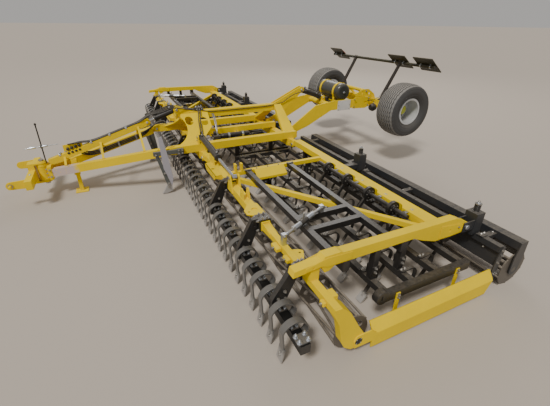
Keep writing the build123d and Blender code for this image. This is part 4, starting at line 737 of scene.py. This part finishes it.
# Centre frame: pins, front springs, tines, bearings and weld seams
def centre(piece):
    for half in both("frame"):
        for x in (FRONT_X - 0.061, FRONT_X + 0.061, REAR_X - 0.061, REAR_X + 0.061):
            half.bead((x, 0.58, 0.561), (x, 0.645, 0.561), 0.006)
        for x, _, z in (TOP_BASE, LIFT_BASE):
            half.boss((x, EAR_Y, z), Y, (0.036, 0.005, 0.024, 0.006), (0.0195, 0.016))
            half.bolt((x - 0.004, EAR_Y, z - 0.031), Y, 0.013)
        for way in BOTH:
            beam_pin, axle_pin = (1.12, 0.64 + way * 0.05, 0.615), (-1.01, 0.39 + way * 0.0381, 0.6)
            half.boss(beam_pin, way * Y, (0.036, 0.004, 0.024, 0.006), (0.0195, 0.014))
            half.boss(axle_pin, way * Y, (0.042, 0.005, 0.028, 0.007), (0.0245, 0.014))
            for x, z in pairs(812, 405, 868, 345, 760, 520):
                half.bolt((x, LOOP_PITCH + way * 0.025, z), way * Y, 0.022)
        # bolted end cap of each side beam, and the seams of the sloping plates
        half.bolts(-X, 0.018, -0.94, (0.598, 0.682), (0.59, 0.645))
        half.plate(lay_front(-0.94), rect(0.585, 0.568, 0.695, 0.664), -0.005, -0.0003)
        half.bead((0.562, 0.058, 0.962), (0.798, 0.058, 0.962), 0.006)
        half.bead((0.545, 0.586, 0.66), (0.99, 0.586, 0.66), 0.006)
    for index in range(4):
        loop_clamp(piece, (index - 1.5) * LOOP_PITCH)
    for half in both("frame"):
        flange(half, (SLANT_X, 0.394, SLANT_Z), Y, 0.044)
        half.bolts(Z, 0.018, (TINE_ROWS[1], TINE_ROWS[3]), 0.5, TINE_BAR_TOP)
        # looseners: clamp plate, pivot and share bolts
        half.bolts(Y, 0.022, (0.96, 1.01), LOOSENER_ARM, (0.592, 0.638))
        for x, z in pairs(1330, 615, 1250, 330, 1212, 165, 1225, 120):
            half.bolt((x, LOOSENER_OUT, z), Y, 0.024)
            half.bolt((x, LOOSENER_IN, z), -Y, 0.024)
    tine_clamps(piece, -0.48, 0.48)
    for y in (-0.666, -0.64, -0.614):
        piece.fitting((0.945, y, 0.6703), Z, 12.5, 0, 12.5, 14, 10.5, 16, 10.5, 26)
    for x in (0.3, 0.28):
        piece.fitting((x, 0.0553, 0.94), Y, 9.5, 0, 9.5, 12, 7.5, 20)
    # manifold with its valves on the spine
    piece.box("dark", (0.43, -0.046, 1.0004), (0.56, 0.046, 1.05), 0.004)
    for x in (0.455, 0.495, 0.535):
        for half in both("frame"):
            half.fitting((x, 0.046, 1.026), Y, 13, 0, 13, 12, 9, 18)
        piece.fitting((x, 0, 1.05), Z, 12, 0, 12, 10, 7, 16, 7, 30)


def valves(piece):
    """Valve block and accumulator on two straps between the lower tube and the left side beam."""
    for x in (0.305, -0.14):
        piece.box("yellow", (x, 0.0453, 0.588), (x + 0.07, 0.5847, 0.6), 0.001)
        piece.bolts(Z, 0.018, x + 0.035, (0.07, 0.56), 0.6)
    piece.box("dark", (0.288, 0.292, 0.6003), (0.396, 0.43, 0.676), 0.005)
    for y in (0.32, 0.36, 0.4):
        piece.fitting((0.322, y, 0.676), Z, 14, 0, 14, 14, 9, 18, 9, 34, 5, 36)
        piece.fitting((0.396, y, 0.64), X, 13, 0, 13, 12, 9, 16)
    piece.lathe("black", (0.364, 0.36, 0.676), Z, pairs(22, 0, 22, 40, 16, 46, 16, 58, 10, 60), 20)
    vessel = pairs(12, 0, 20, 4, 20, 30, 32, 44, 39, 62, 39, 470, 34, 496, 22, 508, 12, 510, 12, 528, 8, 530)
    piece.lathe("black", (0.288, 0.36, 0.645), -X, vessel, 32)
    for x in (0.13, -0.105):
        piece.lathe("zinc", (x, 0.36, 0.645), X, rect(0.0395, -0.016, 0.0425, 0.016), 32, hollow=True)
        piece.box("zinc", (x - 0.016, 0.33, 0.6003), (x + 0.016, 0.39, 0.6065))
    piece.box("yellow", (0.095, 0.34, 0.588), (0.305, 0.38, 0.6), 0.001)


# Drawbar, head, stand, plug rack and yoke
BEAM_FRONT, BEAM_SPREAD, BEAM_CLIMB = (2.67, 0.095, 0.35), 0.3516, 0.171
STRUT_FRONT_X, STRUT_FRONT_Z = 2.7, 0.474
STRUT_RISE, STRUT_RUN = 0.868 - STRUT_FRONT_Z, 1.3
HEAD_X, STAND_X, STAND_Y, RACK_FACE, POST_Y = 2.8, 2.395, 0.123, 0.0062, 0.03
ROD_WAY = (1, 0, -0.05)


def beam_side(x, lift=0.0):
    """A place on the inner face of the right drawbar beam, at x."""
    front_x, front_y, front_z = BEAM_FRONT
    back = front_x - x
    return (x, -(front_y + back * BEAM_SPREAD) + 0.0545, front_z + back * BEAM_CLIMB + lift)


def strut_z(x):
    """Height of the raised strut's axis at x."""
    return STRUT_FRONT_Z + (STRUT_FRONT_X - x) * STRUT_RISE / STRUT_RUN


def drawbar(piece):
    root = Vector((1.12, 0.64, 0.615))
    beam_run = (Vector(BEAM_FRONT) - root).normalized()
    for half in both("drawbar"):
        for along in (0.14, 1.42):
            at = root + beam_run * along + Z * 0.0555
            half.bead(at - Y * 0.04, at + Vector((0.03, 0.04, 0)), 0.005)
        half.bolts(X, 0.024, 2.74, 0.112, (0.29, 0.35, 0.41))
        half.bolts(Y, 0.022, 2.715, 0.1403, (0.3, 0.4))
        half.boss(Vector(TOP_TIP) + Y * 0.042, Y, (0.034, 0.006, 0.02, 0.007), (0.016, 0.014), 24)
    for z in (0.25, 0.44):
        piece.lathe("yellow", (HEAD_X, 0, z), Z, pairs(75.1, 0, 78.5, 1, 78.5, 9, 75.1, 10), 36)
    # stand's sleeve: pull pin with its ring, and the collar of the hole below
    piece.lathe("zinc", (STAND_X, STAND_Y, 0.4), Y, pairs(12, 0, 12, 16, 7, 17, 7, 48), 16)
    ring = around(16, (STAND_X, STAND_Y + 0.046, 0.4), 0.022)
    for near, after in zip(ring, ring[1:] + ring[:1]):
        piece.lathe("zinc", near, after - near, pairs(3, 0, 3, 9), 8)
    piece.lathe("yellow", (STAND_X, STAND_Y, 0.33), Y, pairs(15, 0, 15, 6, 10, 7), 16)
    # rack with its row of sockets and parked plugs
    socket = pairs(21, 0, 21, 12, 17, 14, 17, 40, 13, 43)
    plug = pairs(19, 0, 19, 14, 12, 18, 12, 45)
    for index, x in enumerate((2.285, 2.335, 2.385, 2.435)):
        for row in (0, 1):
            z = 0.672 - index * 0.012 - row * 0.056
            piece.lathe("dark", (x, RACK_FACE, z), Y, socket, 18)
            piece.lathe("dark", (x, -RACK_FACE, z), -Y, plug, 18)
    piece.bolts(Y, 0.016, (2.255, 2.47), RACK_FACE, 0.598)
    # hose post on the head, with a cross rod that carries two brake couplers
    up = (-0.036, 0, 1)
    piece.lathe("black", (2.742, POST_Y, 0.4303), up, pairs(8.5, 0, 8.5, 585, 6.5, 590), 14)
    piece.lathe("black", (2.7205, POST_Y, 1.022), up, pairs(4, -12, 14, -6, 14, 12, 6, 20), 16)
    piece.lathe("zinc", (2.53, POST_Y, 0.726), ROD_WAY, pairs(5.5, 0, 5.5, 415), 12)
    piece.block("black", (2.732, POST_Y, 0.716), (0.03, 0.026, 0.04), 0.004)
    sleeve = pairs(10, 0, 15, 6, 15, 70, 11, 80, 11, 100, 7, 104)
    for x, z in pairs(2660, 720.5, 2800, 713.5):
        piece.lathe("zinc", (x, POST_Y, z), ROD_WAY, sleeve, 18)
        piece.block("zinc", (x + 0.055, POST_Y, z + 0.01), (0.046, 0.014, 0.02))
    piece.box("yellow", (2.742, -0.006, 0.4303), (2.7895, 0.06, 0.442))
    # clips of the three hoses along the right beam
    run = (Vector(beam_side(1.4)) - Vector(beam_side(2.2))).normalized()
    across = Z.cross(run).normalized()
    turn = Matrix((run, across, run.cross(across).normalized())).transposed()
    for x in (1.48, 1.76, 2.04):
        at = Vector(beam_side(x))
        piece.block("zinc", at + Y * 0.0105, (0.026, 0.003, 0.086), 0.001, turn)
        for lift in (-0.042, 0.042):
            piece.block("zinc", at + Vector((0, -0.002, lift)), (0.026, 0.024, 0.003), 0.001, turn)
        piece.bolt(at + Y * 0.012, Y, 0.014)
    # clips that hold the hoses on the strut
    tilt = Matrix.Rotation(atan2(STRUT_RISE, STRUT_RUN), 3, "Y")
    for x in (1.62, 1.86, 2.12, 2.55):
        z = strut_z(x) + 0.0435
        piece.block("zinc", (x, 0, z + 0.018), (0.03, 0.09, 0.003), 0.001, tilt)
        for side in BOTH:
            piece.block("zinc", (x, side * 0.0445, z + 0.004), (0.03, 0.003, 0.028), 0.001, tilt)
        piece.bolt((x, 0, z + 0.0195), tilt @ Z, 0.014)


def hitch(piece):
    for z, way in ((0.497, 1), (0.203, -1)):
        piece.lathe("yellow", (HEAD_X, 0, z), way * Z, pairs(52, 0, 52, 8, 40, 10), 32)
        piece.lathe("bolt", (HEAD_X, 0, z + way * 0.01), way * Z, pairs(34, 0, 34, 22, 28, 26), 6)
    for half in both("hitch"):
        half.lathe("bolt", (3.14, 0.405, 0.35), Y, pairs(30, 0, 30, 6, 18.6, 7), 28)
        for x in (2.91, 2.95):
            half.bead((x, 0.072, 0.411), (x + 0.001, 0.012, 0.411), 0.004)
        for y in (0.384, 0.406):
            half.bead((2.9715, y, 0.3), (2.9715, y, 0.4), 0.005)
        half.pin((2.93, 0.25, 0.4102), Z, 0.014, 0.012, "zinc")


# Axle: tank straps, valves, brake chambers, plate, light posts and boards
def axle(piece):
    for y in (-0.205, 0.205):
        strap = rect(TANK_R + 0.0006, -0.022, TANK_R + 0.008, 0.022)
        piece.lathe("yellow", TANK + Y * y, Y, strap, 56, hollow=True)
        piece.box("yellow", (TANK.x + 0.12, y - 0.022, 1.01), (TANK.x + 0.132, y + 0.022, 1.075))
        piece.box("yellow", (TANK.x + 0.07, y - 0.022, 0.9853), (TANK.x + 0.132, y + 0.022, 1.012))
        piece.bolts(Z, 0.018, (TANK.x - 0.085, TANK.x + 0.095), y + 0.03, 0.985)
    piece.fitting(TANK - Z * TANK_R, -Z, 12, -4, 12, 12, 6, 16)
    # brake valve on the tank's shelf and two brake chambers on the beam
    piece.box("dark", (-1.9795, -0.045, 0.94), (-1.925, 0.045, 1.03), 0.008)
    chamber = pairs(30, 0, 58, 10, 64, 30, 64, 52, 71, 54, 71, 64, 64, 66, 60, 100, 46, 118, 14, 120)
    disc = pairs(165, -14, 165, 0, 150, 4, 62, 4, 62, -14)
    cover = pairs(-2275, 862, -2275, 1045, -2330, 1058, -2640, 1058, -2640, 880, -2560, 850)
    ear = pairs(
        -2330, 1060.5, -2330, 1115, -2470, 1185, -2620, 1185, -2760, 1090, -2790, 1020.5, -2690, 1020.5,
        -2640, 1060.5,
    )
    for half in both("axle"):
        half.fitting(TANK + Y * 0.34, Y, 20, 0, 20, 12, 14, 14, 14, 28)
        half.box("yellow", (WHEEL_X + 0.0703, 0.525, 0.85), (WHEEL_X + 0.083, 0.595, 0.94))
        half.lathe("dark", (WHEEL_X + 0.083, 0.56, 0.885), (1, 0, 0.05), chamber, 30)
        half.fitting((WHEEL_X + 0.121, 0.56, 0.951), Z, 9, 0, 9, 20, 6, 24)
        # brake disc and the feet of the light posts
        half.lathe("dark", (WHEEL_X, 0.916, WHEEL_Z), Y, disc, 40)
        for spot in around(6, (WHEEL_X, 0.93, WHEEL_Z), 0.095):
            half.bolt(spot, Y, 0.02)
        half.bolts(Z, 0.018, (-2.733, -2.693), (0.592, 0.648), 1.032)
        # covers and the ears of the stop bracket on the arms
        half.plate(lay_side(0.402), cover, 0.0002, 0.01, trios(-2345, 955, 14, -2560, 955, 22))
        for x, z in pairs(-2300, 890, -2300, 1020, -2615, 905, -2615, 1030):
            half.bolt((x, 0.412, z), Y, 0.02)
        half.plate(lay_side(0.385), ear, -0.006, 0.006, trios(-2470, 1125, 26, -2640, 1105, 18))
        half.bolt((-2.56, 0.391, 1.15), Y, 0.024)
        # ear of the lift cylinder
        half.boss(Vector(LIFT_TIP) + Y * EAR_Y, Y, (0.03, 0.005, 0.018, 0.006), (0.0145, 0.012), 24)
    piece.box("white", (-2.215, 0.403, 0.85), (-1.935, 0.4055, 1.026), 0.0008)
    piece.bolts(Y, 0.011, (-2.195, -1.955), 0.4055, (0.868, 0.945))
    piece.lathe("yellow", (-2.56, -0.379, 1.15), Y, pairs(30, 0, 30, 758), 28)
    rib = pairs(-2560, 1120, -2560, 1165, -2640, 1150, -2740, 1020.5, -2690, 1020.5, -2620, 1080)
    for y in (-0.15, 0.15):
        piece.plate(lay_side(y), rib, -0.005, 0.005)
    lights(piece)


BOARD_TILT = radians(53)
BOARD_SIZE, BOARD_RIM, BOARD_FACE = (0.4, 0.34), 0.012, 0.0371
STRIPE_WIDE, STRIPE_LEAN = 0.08, 0.154
BOARD_YS = (-1.22, 0.6, 1.19)


def lights(piece):
    """Striped faces, lamps and clamps of the boards on the light bar."""
    up = Vector((-cos(BOARD_TILT), 0, sin(BOARD_TILT)))
    along = Vector((sin(BOARD_TILT), 0, cos(BOARD_TILT)))
    turn = Matrix((Y, along, up)).transposed()
    half_u, half_v = (length / 2 - BOARD_RIM for length in BOARD_SIZE)
    sleeve = pairs(25.3, 0, 29, 1, 29, 23, 25.3, 24)
    for y in BOARD_YS:
        middle = BAR_POST + Y * y

        def place(u, v, height):
            return middle + Y * u + along * v + up * (BOARD_FACE + height)

        piece.plate(place, rect(-half_u, -half_v, half_u, half_v), 0, 0.0012, key="white")
        for start in (-0.24, -0.08, 0.08):
            top = start + STRIPE_LEAN
            stripe = [(start, -half_v), (start + STRIPE_WIDE, -half_v)]
            stripe += [(top + STRIPE_WIDE, half_v), (top, half_v)]
            clipped = [(max(-half_u, min(half_u, u)), v) for u, v in stripe]
            piece.plate(place, clipped, 0.0014, 0.0022, key="red")
        if abs(y) > 1:
            inner = -1 if y > 0 else 1
            for key, u in (("red", 0.075), ("amber", -0.01), ("red", -0.095)):
                piece.block(key, place(inner * u, 0.0, 0.024), (0.076, 0.12, 0.034), 0.008, turn)
            piece.block("dark", place(inner * -0.01, 0.0, 0.006), (0.268, 0.14, 0.008), 0.002, turn)
        for u in (-0.1, 0.1):
            clamp = middle + Y * u
            piece.block("zinc", clamp + up * 0.02, (0.026, 0.078, 0.004), 0.001, turn)
            piece.lathe("zinc", clamp - Y * 0.012, Y, sleeve)
        for u, v in product((0.01 - half_u, half_u - 0.01), (0.01 - half_v, half_v - 0.01)):
            piece.bolt(place(u, v, 0.0012), up, 0.012)
    collar = pairs(25.3, 0, 31, 1, 31, 59, 25.3, 60)
    for y in (-0.62, 0.62):
        piece.lathe("post", BAR_POST + Y * (y - 0.03), Y, collar)
        for side in BOTH:
            piece.bolt(BAR_POST + Vector((0.012, y + side * 0.018, 0.0285)), (0.2, 0, 1), 0.014)
    for y, way in ((-1.41, -Y), (1.38, Y)):
        piece.lathe("black", BAR_POST + Y * y, way, pairs(24.5, 0, 24.5, 0.5), 20)


# Wheels: tyre with its tread, wheel centre with nuts, valve
TREAD_STEPS, TREAD_WAVES, TREAD_RIBS = 288, 36, 9
GROOVE_HALF, GROOVE_DEEP, TREAD_WAVE = 0.0062, 0.011, 0.008
CROWN_DROP, CROWN_POWER, SHOULDER = 0.0305, 3.2, 0.018
LUG_DEEP, LUG_SHARE, LUG_FROM = 0.006, 0.3, 0.376
WALL = pairs(
    402, 16, 392, 9, 378, 4, 366, 1.5, 362, 4, 358, 4, 354, 0.5, 330, 0, 310, 1, 286, 7, 282, 11, 277, 11,
    273, 9, 250, 24, 236, 34, 226, 46, 222, 52.5, 198, 53,
)


def tread_profile():
    """Rows across the tyre: radius, place across, kind (wall, rib or groove) and how much it waves."""
    edge = TYRE_W / 2
    crown = edge - SHOULDER
    pitch = 2 * crown / TREAD_RIBS

    def crown_row(width, kind="rib", waves=1):
        drop = GROOVE_DEEP if kind == "groove" else 0
        return (TYRE_R - CROWN_DROP * abs(width / crown) ** CROWN_POWER - drop, width, kind, waves)

    middle = [crown_row(-crown, waves=0)]
    for index in range(1, TREAD_RIBS):
        at = -crown + index * pitch
        for off, kind in ((-1, "rib"), (-0.6, "groove"), (0.6, "groove"), (1, "rib")):
            middle.append(crown_row(at + off * GROOVE_HALF, kind))
        if index < TREAD_RIBS - 1:
            middle.append(crown_row(at + pitch / 2))
    middle.append(crown_row(crown, waves=0))
    left = [(radius, inset - edge, "wall", 0) for radius, inset in reversed(WALL)]
    right = [(radius, edge - inset, "wall", 0) for radius, inset in WALL]
    return left + middle + right


def tyre(name, side):
    """A flotation tyre: waved ribs round the crown, shoulder lugs and rings on the walls."""
    profile = tread_profile()
    points = []
    for radius, width, kind, waves in profile:
        for step in range(TREAD_STEPS):
            angle = 2 * pi * step / TREAD_STEPS
            turn = step / TREAD_STEPS * TREAD_WAVES % 1
            across = width + waves * TREAD_WAVE * (1 - 4 * abs(turn - 0.5))
            lug = kind == "wall" and radius > LUG_FROM and turn < LUG_SHARE
            reach = radius - (LUG_DEEP if lug else 0)
            y = side * HALF_TRACK + across
            points.append((WHEEL_X + reach * cos(angle), y, WHEEL_Z + reach * sin(angle)))
    kinds = []
    for near, after in zip(profile, profile[1:]):
        kinds += [int(near[2] == "rib" and after[2] == "rib")] * TREAD_STEPS
    mesh = mesh_of(name, points, ring_faces(len(profile), TREAD_STEPS, caps=False), 40, "tyre", "tread")
    mesh.polygons.foreach_set("material_index", kinds)
    piece = place_object(name, mesh)
    inside = piece.modifiers.new("thickness", "SOLIDIFY")
    inside.thickness = 0.012
    inside.offset = -1
    return piece


def wheel(piece):
    """Dished centre, hub and nuts, seen from both sides; the hand holes are near-black cups, painted shade
    where open holes would show.
    """
    hub = Vector((WHEEL_X, HALF_TRACK, WHEEL_Z))
    dish = pairs(188.5, -78, 188.5, -69, 172, -66, 150, -55, 130, -53, 92, -54, 90.5, -64)
    piece.lathe("silver", hub, Y, dish, 56)
    flare = pairs(189.5, 130, 193.5, 150, 205, 158, 214, 162.5, 214, 165.5, 203, 164, 189, 155)
    piece.lathe("silver", hub, Y, flare, 64, hollow=True)
    cap = pairs(93, -69, 93, -44, 86, -38, 78, -38, 76, -10, 70, 11, 50, 16, 48, 26, 12, 30)
    piece.lathe("hub", hub, Y, cap, 40)
    nut = pairs(16.5, -4, 16.5, 16, 13, 21, 8, 21.5, 8, 32)
    for spot in around(6, hub - Y * 0.0535, 0.112):
        piece.lathe("bolt", spot, Y, nut, 6)
    # hand holes: no hole is cut; near-black cups in the brake iron finish are painted shade where the holes
    # would show through
    hole = pairs(15, -6, 15, 4, 12, 4.2, 11, -2)
    for step in range(6):
        angle = 2 * pi * step / 6 + 0.5
        piece.lathe("dark", hub + Vector((0.156 * cos(angle), -0.06, 0.156 * sin(angle))), Y, hole, 20)
    stem = hub + Vector((0.178, -0.06, 0))
    piece.lathe("bolt", stem, (-0.35, 1, 0), pairs(4.2, 0, 4.2, 40, 5.2, 41, 5.2, 52), 12)


def roller_ends(piece, ys, x, z, radius):
    """Collars beside a roller's end discs."""
    for y, way in ys:
        piece.lathe("roller", (x, y, z), way * Y, ((radius, 0), (radius, 0.014), (radius - 0.004, 0.016)))
        piece.bolt((x + radius - 0.001, y + way * 0.008, z), X, 0.01)


# Hoses and pipes that are clipped to the machine; those of both sides are given for the left
DRAWBAR_HINGE = ("drawbar", "frame", (1.4, 0, 0.95), (0.95, 0, 1.05))
BEAM_HINGE = ("drawbar", "frame", (1.32, -0.55, 0.6), (1.02, -0.63, 0.7))
AXLE_HINGE = ("frame", "axle", (-1.1, 0, 1.1), (-1.75, 0, 1.1))
AIR_LINE = trios(470, 50, 1020, 400, 62, 985, 200, 64, 975, -300, 64, 975, -800, 64, 975, -1000, 66, 1020)
AXLE_LINE = trios(
    -1000, 66, 1020, -1160, 75, 1130, -1300, 110, 1170, -1420, 130, 1200, -1620, 150, 1190,
    -1800, 180, 1120, -1930, 150, 1070, -1950, 46, 1030,
)
BRAKE_HOSE = trios(
    -1940, 46, 1030, -1960, 200, 1020, -2080, 330, 998, -2400, 370, 985, -2620, 400, 985, -2655, 480, 990,
    -2640, 550, 985, -2634, 560, 972,
)
LAMP_WIRE = trios(
    -2640, 430, 1000, -2690, 560, 1040, -2702, 620, 1090, -2860, 620, 1372, -3000, 620, 1608,
    -3022, 700, 1640, -3022, 900, 1640, -3030, 1020, 1650,
)
SIDE_LINES = (
    ("axle_line", AXLE_LINE, 0.006, "", AXLE_HINGE),
    ("brake_hose", BRAKE_HOSE, 0.006, "axle", ()),
    ("lamp_wire", LAMP_WIRE, 0.004, "axle", ()),
)
# Fold hoses: the first part of both, then the ends at the near and the far port
FOLD_START = trios(495, 60, 1026, 500, 120, 1000, 545, 260, 905, 570, 420, 790, 590, 520, 750, 610, 590, 790)
FOLD_ENDS = (
    trios(640, 640, 835, 650, 700, 836, 650, 724, 812),
    trios(650, 640, 860, 652, 760, 842, 652, 1100, 822, 650, 1380, 812, 650, 1430, 782),
)


def mirrored(points, side):
    return [(x, side * y, z) for x, y, z in points]


def pipes():
    tops = {x: strut_z(x) + 0.052 for x in (1.5, 1.62, 1.86, 2.12)}
    for index, y in enumerate((-0.033, -0.011, 0.011, 0.033)):
        lift = 0.002 * (index % 2)
        route = [(2.335 + 0.03 * index, y * 0.4, 0.7), (2.28, y * 0.7, 0.716), (2.12, y, tops[2.12])]
        route += [(x, y, tops[x] + lift) for x in (1.86, 1.62, 1.5)]
        hose(f"strut_hose_{index}", route, 0.0085, "drawbar")
        over = [
            (1.5, y, tops[1.5] + lift), (1.4, y * 1.3, tops[1.5] + 0.03),
            (1.26, y * 2.4, 1.005 + 0.006 * index), (1.08, y * 3.2, 1.045), (0.92, y * 3.4, 1.105),
            (0.76, y * 2.0, 1.06), (0.62, y * 1.3, 1.03), (0.57, y * 1.2, 1.026),
        ]
        hose(f"hinge_hose_{index}", over, 0.0085, across=DRAWBAR_HINGE)
    for index, lift in enumerate((-0.026, 0.0, 0.026)):
        x = 2.3 + 0.045 * index
        lead = [(x, -0.052, 0.655 - 0.006 * index), (x + 0.01, -0.1, 0.63)]
        lead += [(2.33, -0.15, 0.54 + lift), (2.23, -0.185, 0.47 + lift)]
        lead += [beam_side(x, lift) for x in (2.1, 1.9, 1.6, 1.42)]
        hose(f"beam_hose_{index}", lead, 0.0095, "drawbar")
        bend = [
            beam_side(1.42, lift), beam_side(1.32, lift + 0.012), (1.2, lift - 0.56, 0.665 + lift * 0.5),
            (1.1, lift - 0.6, 0.722), (1.02, lift - 0.63, 0.732), (0.965, lift - 0.64, 0.715),
            (0.945, lift - 0.64, 0.69),
        ]
        hose(f"beam_bend_{index}", bend, 0.0095, across=BEAM_HINGE)
    for index in (0, 1):
        y, x = 0.04 * index, 0.3 - 0.02 * index
        line = [(0.322, 0.32 + y, 0.706), (0.318, 0.318 + y, 0.74), (x + 0.01, 0.24, 0.83)]
        line += [(x, 0.13, 0.91), (x, 0.07, 0.94)]
        hose(f"valve_line_{index}", line, 0.007, "frame", key="zinc")
    for name, side in SIDES:
        across = ("frame", f"fold_barrel_{name}", (0.6, side * 0.56, 0.78), (0.6, side * 0.68, 0.83))
        for index, ends in enumerate(FOLD_ENDS):
            route = [(x + 0.03 * index, y, z) for x, y, z in FOLD_START] + list(ends)
            hose(f"fold_hose_{name}_{index}", mirrored(route, side), 0.0075, across=across)
    hose("air_pipe", AIR_LINE, 0.006, "frame")
    hose("lamp_cable", mirrored(AIR_LINE, -1), 0.005, "frame")
    for name, side in reversed(SIDES):
        for line, route, radius, body, across in SIDE_LINES:
            hose(f"{line}_{name}", mirrored(route, side), radius, body, across)


# Camera at the photograph's place, soft studio light and a pale floor
CAMERA_AT = (1.733, 5.363, 2.251)
YAW, PITCH, ROLL = 0.455, 0.502, -0.01
LENS_WIDTHS = 328.8 / 550
SENSOR = 36.0
FLOOR_REACH, FLOOR_LEVEL = 400.0, -0.001


def camera():
    forward = Vector((-sin(YAW) * cos(PITCH), -cos(YAW) * cos(PITCH), -sin(PITCH)))
    right = forward.cross(Z).normalized()
    down = forward.cross(right)
    across = cos(ROLL) * right + sin(ROLL) * down
    below = -sin(ROLL) * right + cos(ROLL) * down
    made = bpy.data.cameras.new("photo_camera")
    made.sensor_width = SENSOR
    made.lens = LENS_WIDTHS * SENSOR
    made.clip_end = 600
    placed = place_object("photo_camera", made)
    turn = Matrix((across, -below, -forward)).transposed().to_4x4()
    placed.matrix_world = Matrix.Translation(CAMERA_AT) @ turn
    bpy.context.scene.camera = placed


def lamp(name, kind, way, colour, **settings):
    """A light that shines along a direction."""
    made = bpy.data.lights.new(name, kind)
    made.color = colour
    for key, value in settings.items():
        setattr(made, key, value)
    placed = place_object(name, made)
    placed.rotation_euler = Vector(way).to_track_quat("-Z", "Y").to_euler()
    return placed


def studio():
    mesh = bpy.data.meshes.new("floor")
    corners = rect(-FLOOR_REACH, -FLOOR_REACH, FLOOR_REACH, FLOOR_REACH)
    mesh.from_pydata([(x, y, FLOOR_LEVEL) for x, y in corners], [], [(0, 1, 2, 3)])
    pale = bpy.data.materials.new("floor_pale")
    pale.use_nodes = True
    shader = pale.node_tree.nodes["Principled BSDF"]
    shader.inputs["Base Color"].default_value = (0.46, 0.41, 0.355, 1)
    shader.inputs["Roughness"].default_value = 0.9
    mesh.materials.append(pale)
    floor = place_object("floor", mesh)
    world = bpy.data.worlds.new("studio")
    world.use_nodes = True
    sky = world.node_tree.nodes["Background"]
    sky.inputs[0].default_value = (1.0, 0.97, 0.93, 1)
    sky.inputs[1].default_value = 0.43
    bpy.context.scene.world = world
    lamp("key", "SUN", (-0.6, -0.46, -1.05), (1.0, 0.96, 0.9), energy=2.6, angle=radians(11))
    back = lamp("back", "AREA", (7.0, 8.0, -8.0), (1.0, 0.98, 0.95), energy=320, size=6.0)
    back.location = (-7.0, -8.0, 8.0)


def main():
    camera()
    dress_frame()
    centre(Piece("frame"))
    valves(Piece("frame"))
    drawbar(Piece("drawbar"))
    hitch(Piece("hitch"))
    axle(Piece("axle"))
    for name, side in SIDES:
        wing = Piece(f"wing_{name}", side)
        wing_front(wing)
        wing_middle(wing)
        wing_rear(wing)
        fold_joint(Piece("frame", side), wing)
        barrel = Piece(f"fold_barrel_{name}", side)
        cylinder_trim(barrel, FOLD_BASE, FOLD_TIP, 0.04, 0.85, (0, 0.04, 1))
        roller_ends(Piece(f"front_roller_{name}", side), ((0.485, -1), (4.056, 1)), SLANT_X, SLANT_Z, 0.034)
        wheel(Piece(f"wheel_{name}", side))
        rubber = tyre(f"tyre_{name}_treaded", side)
        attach(rubber, f"wheel_{name}")
        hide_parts(f"tyre_{name}")
    cylinder_trim(Piece("top_barrel"), TOP_BASE, TOP_TIP, 0.042, 0.36, (0.31, 0, 0.95))
    cylinder_trim(Piece("axle_barrel"), LIFT_BASE, LIFT_TIP, 0.046, 0.445, (-0.33, 0, 0.94))
    build_batches()
    pipes()
    studio()


main()
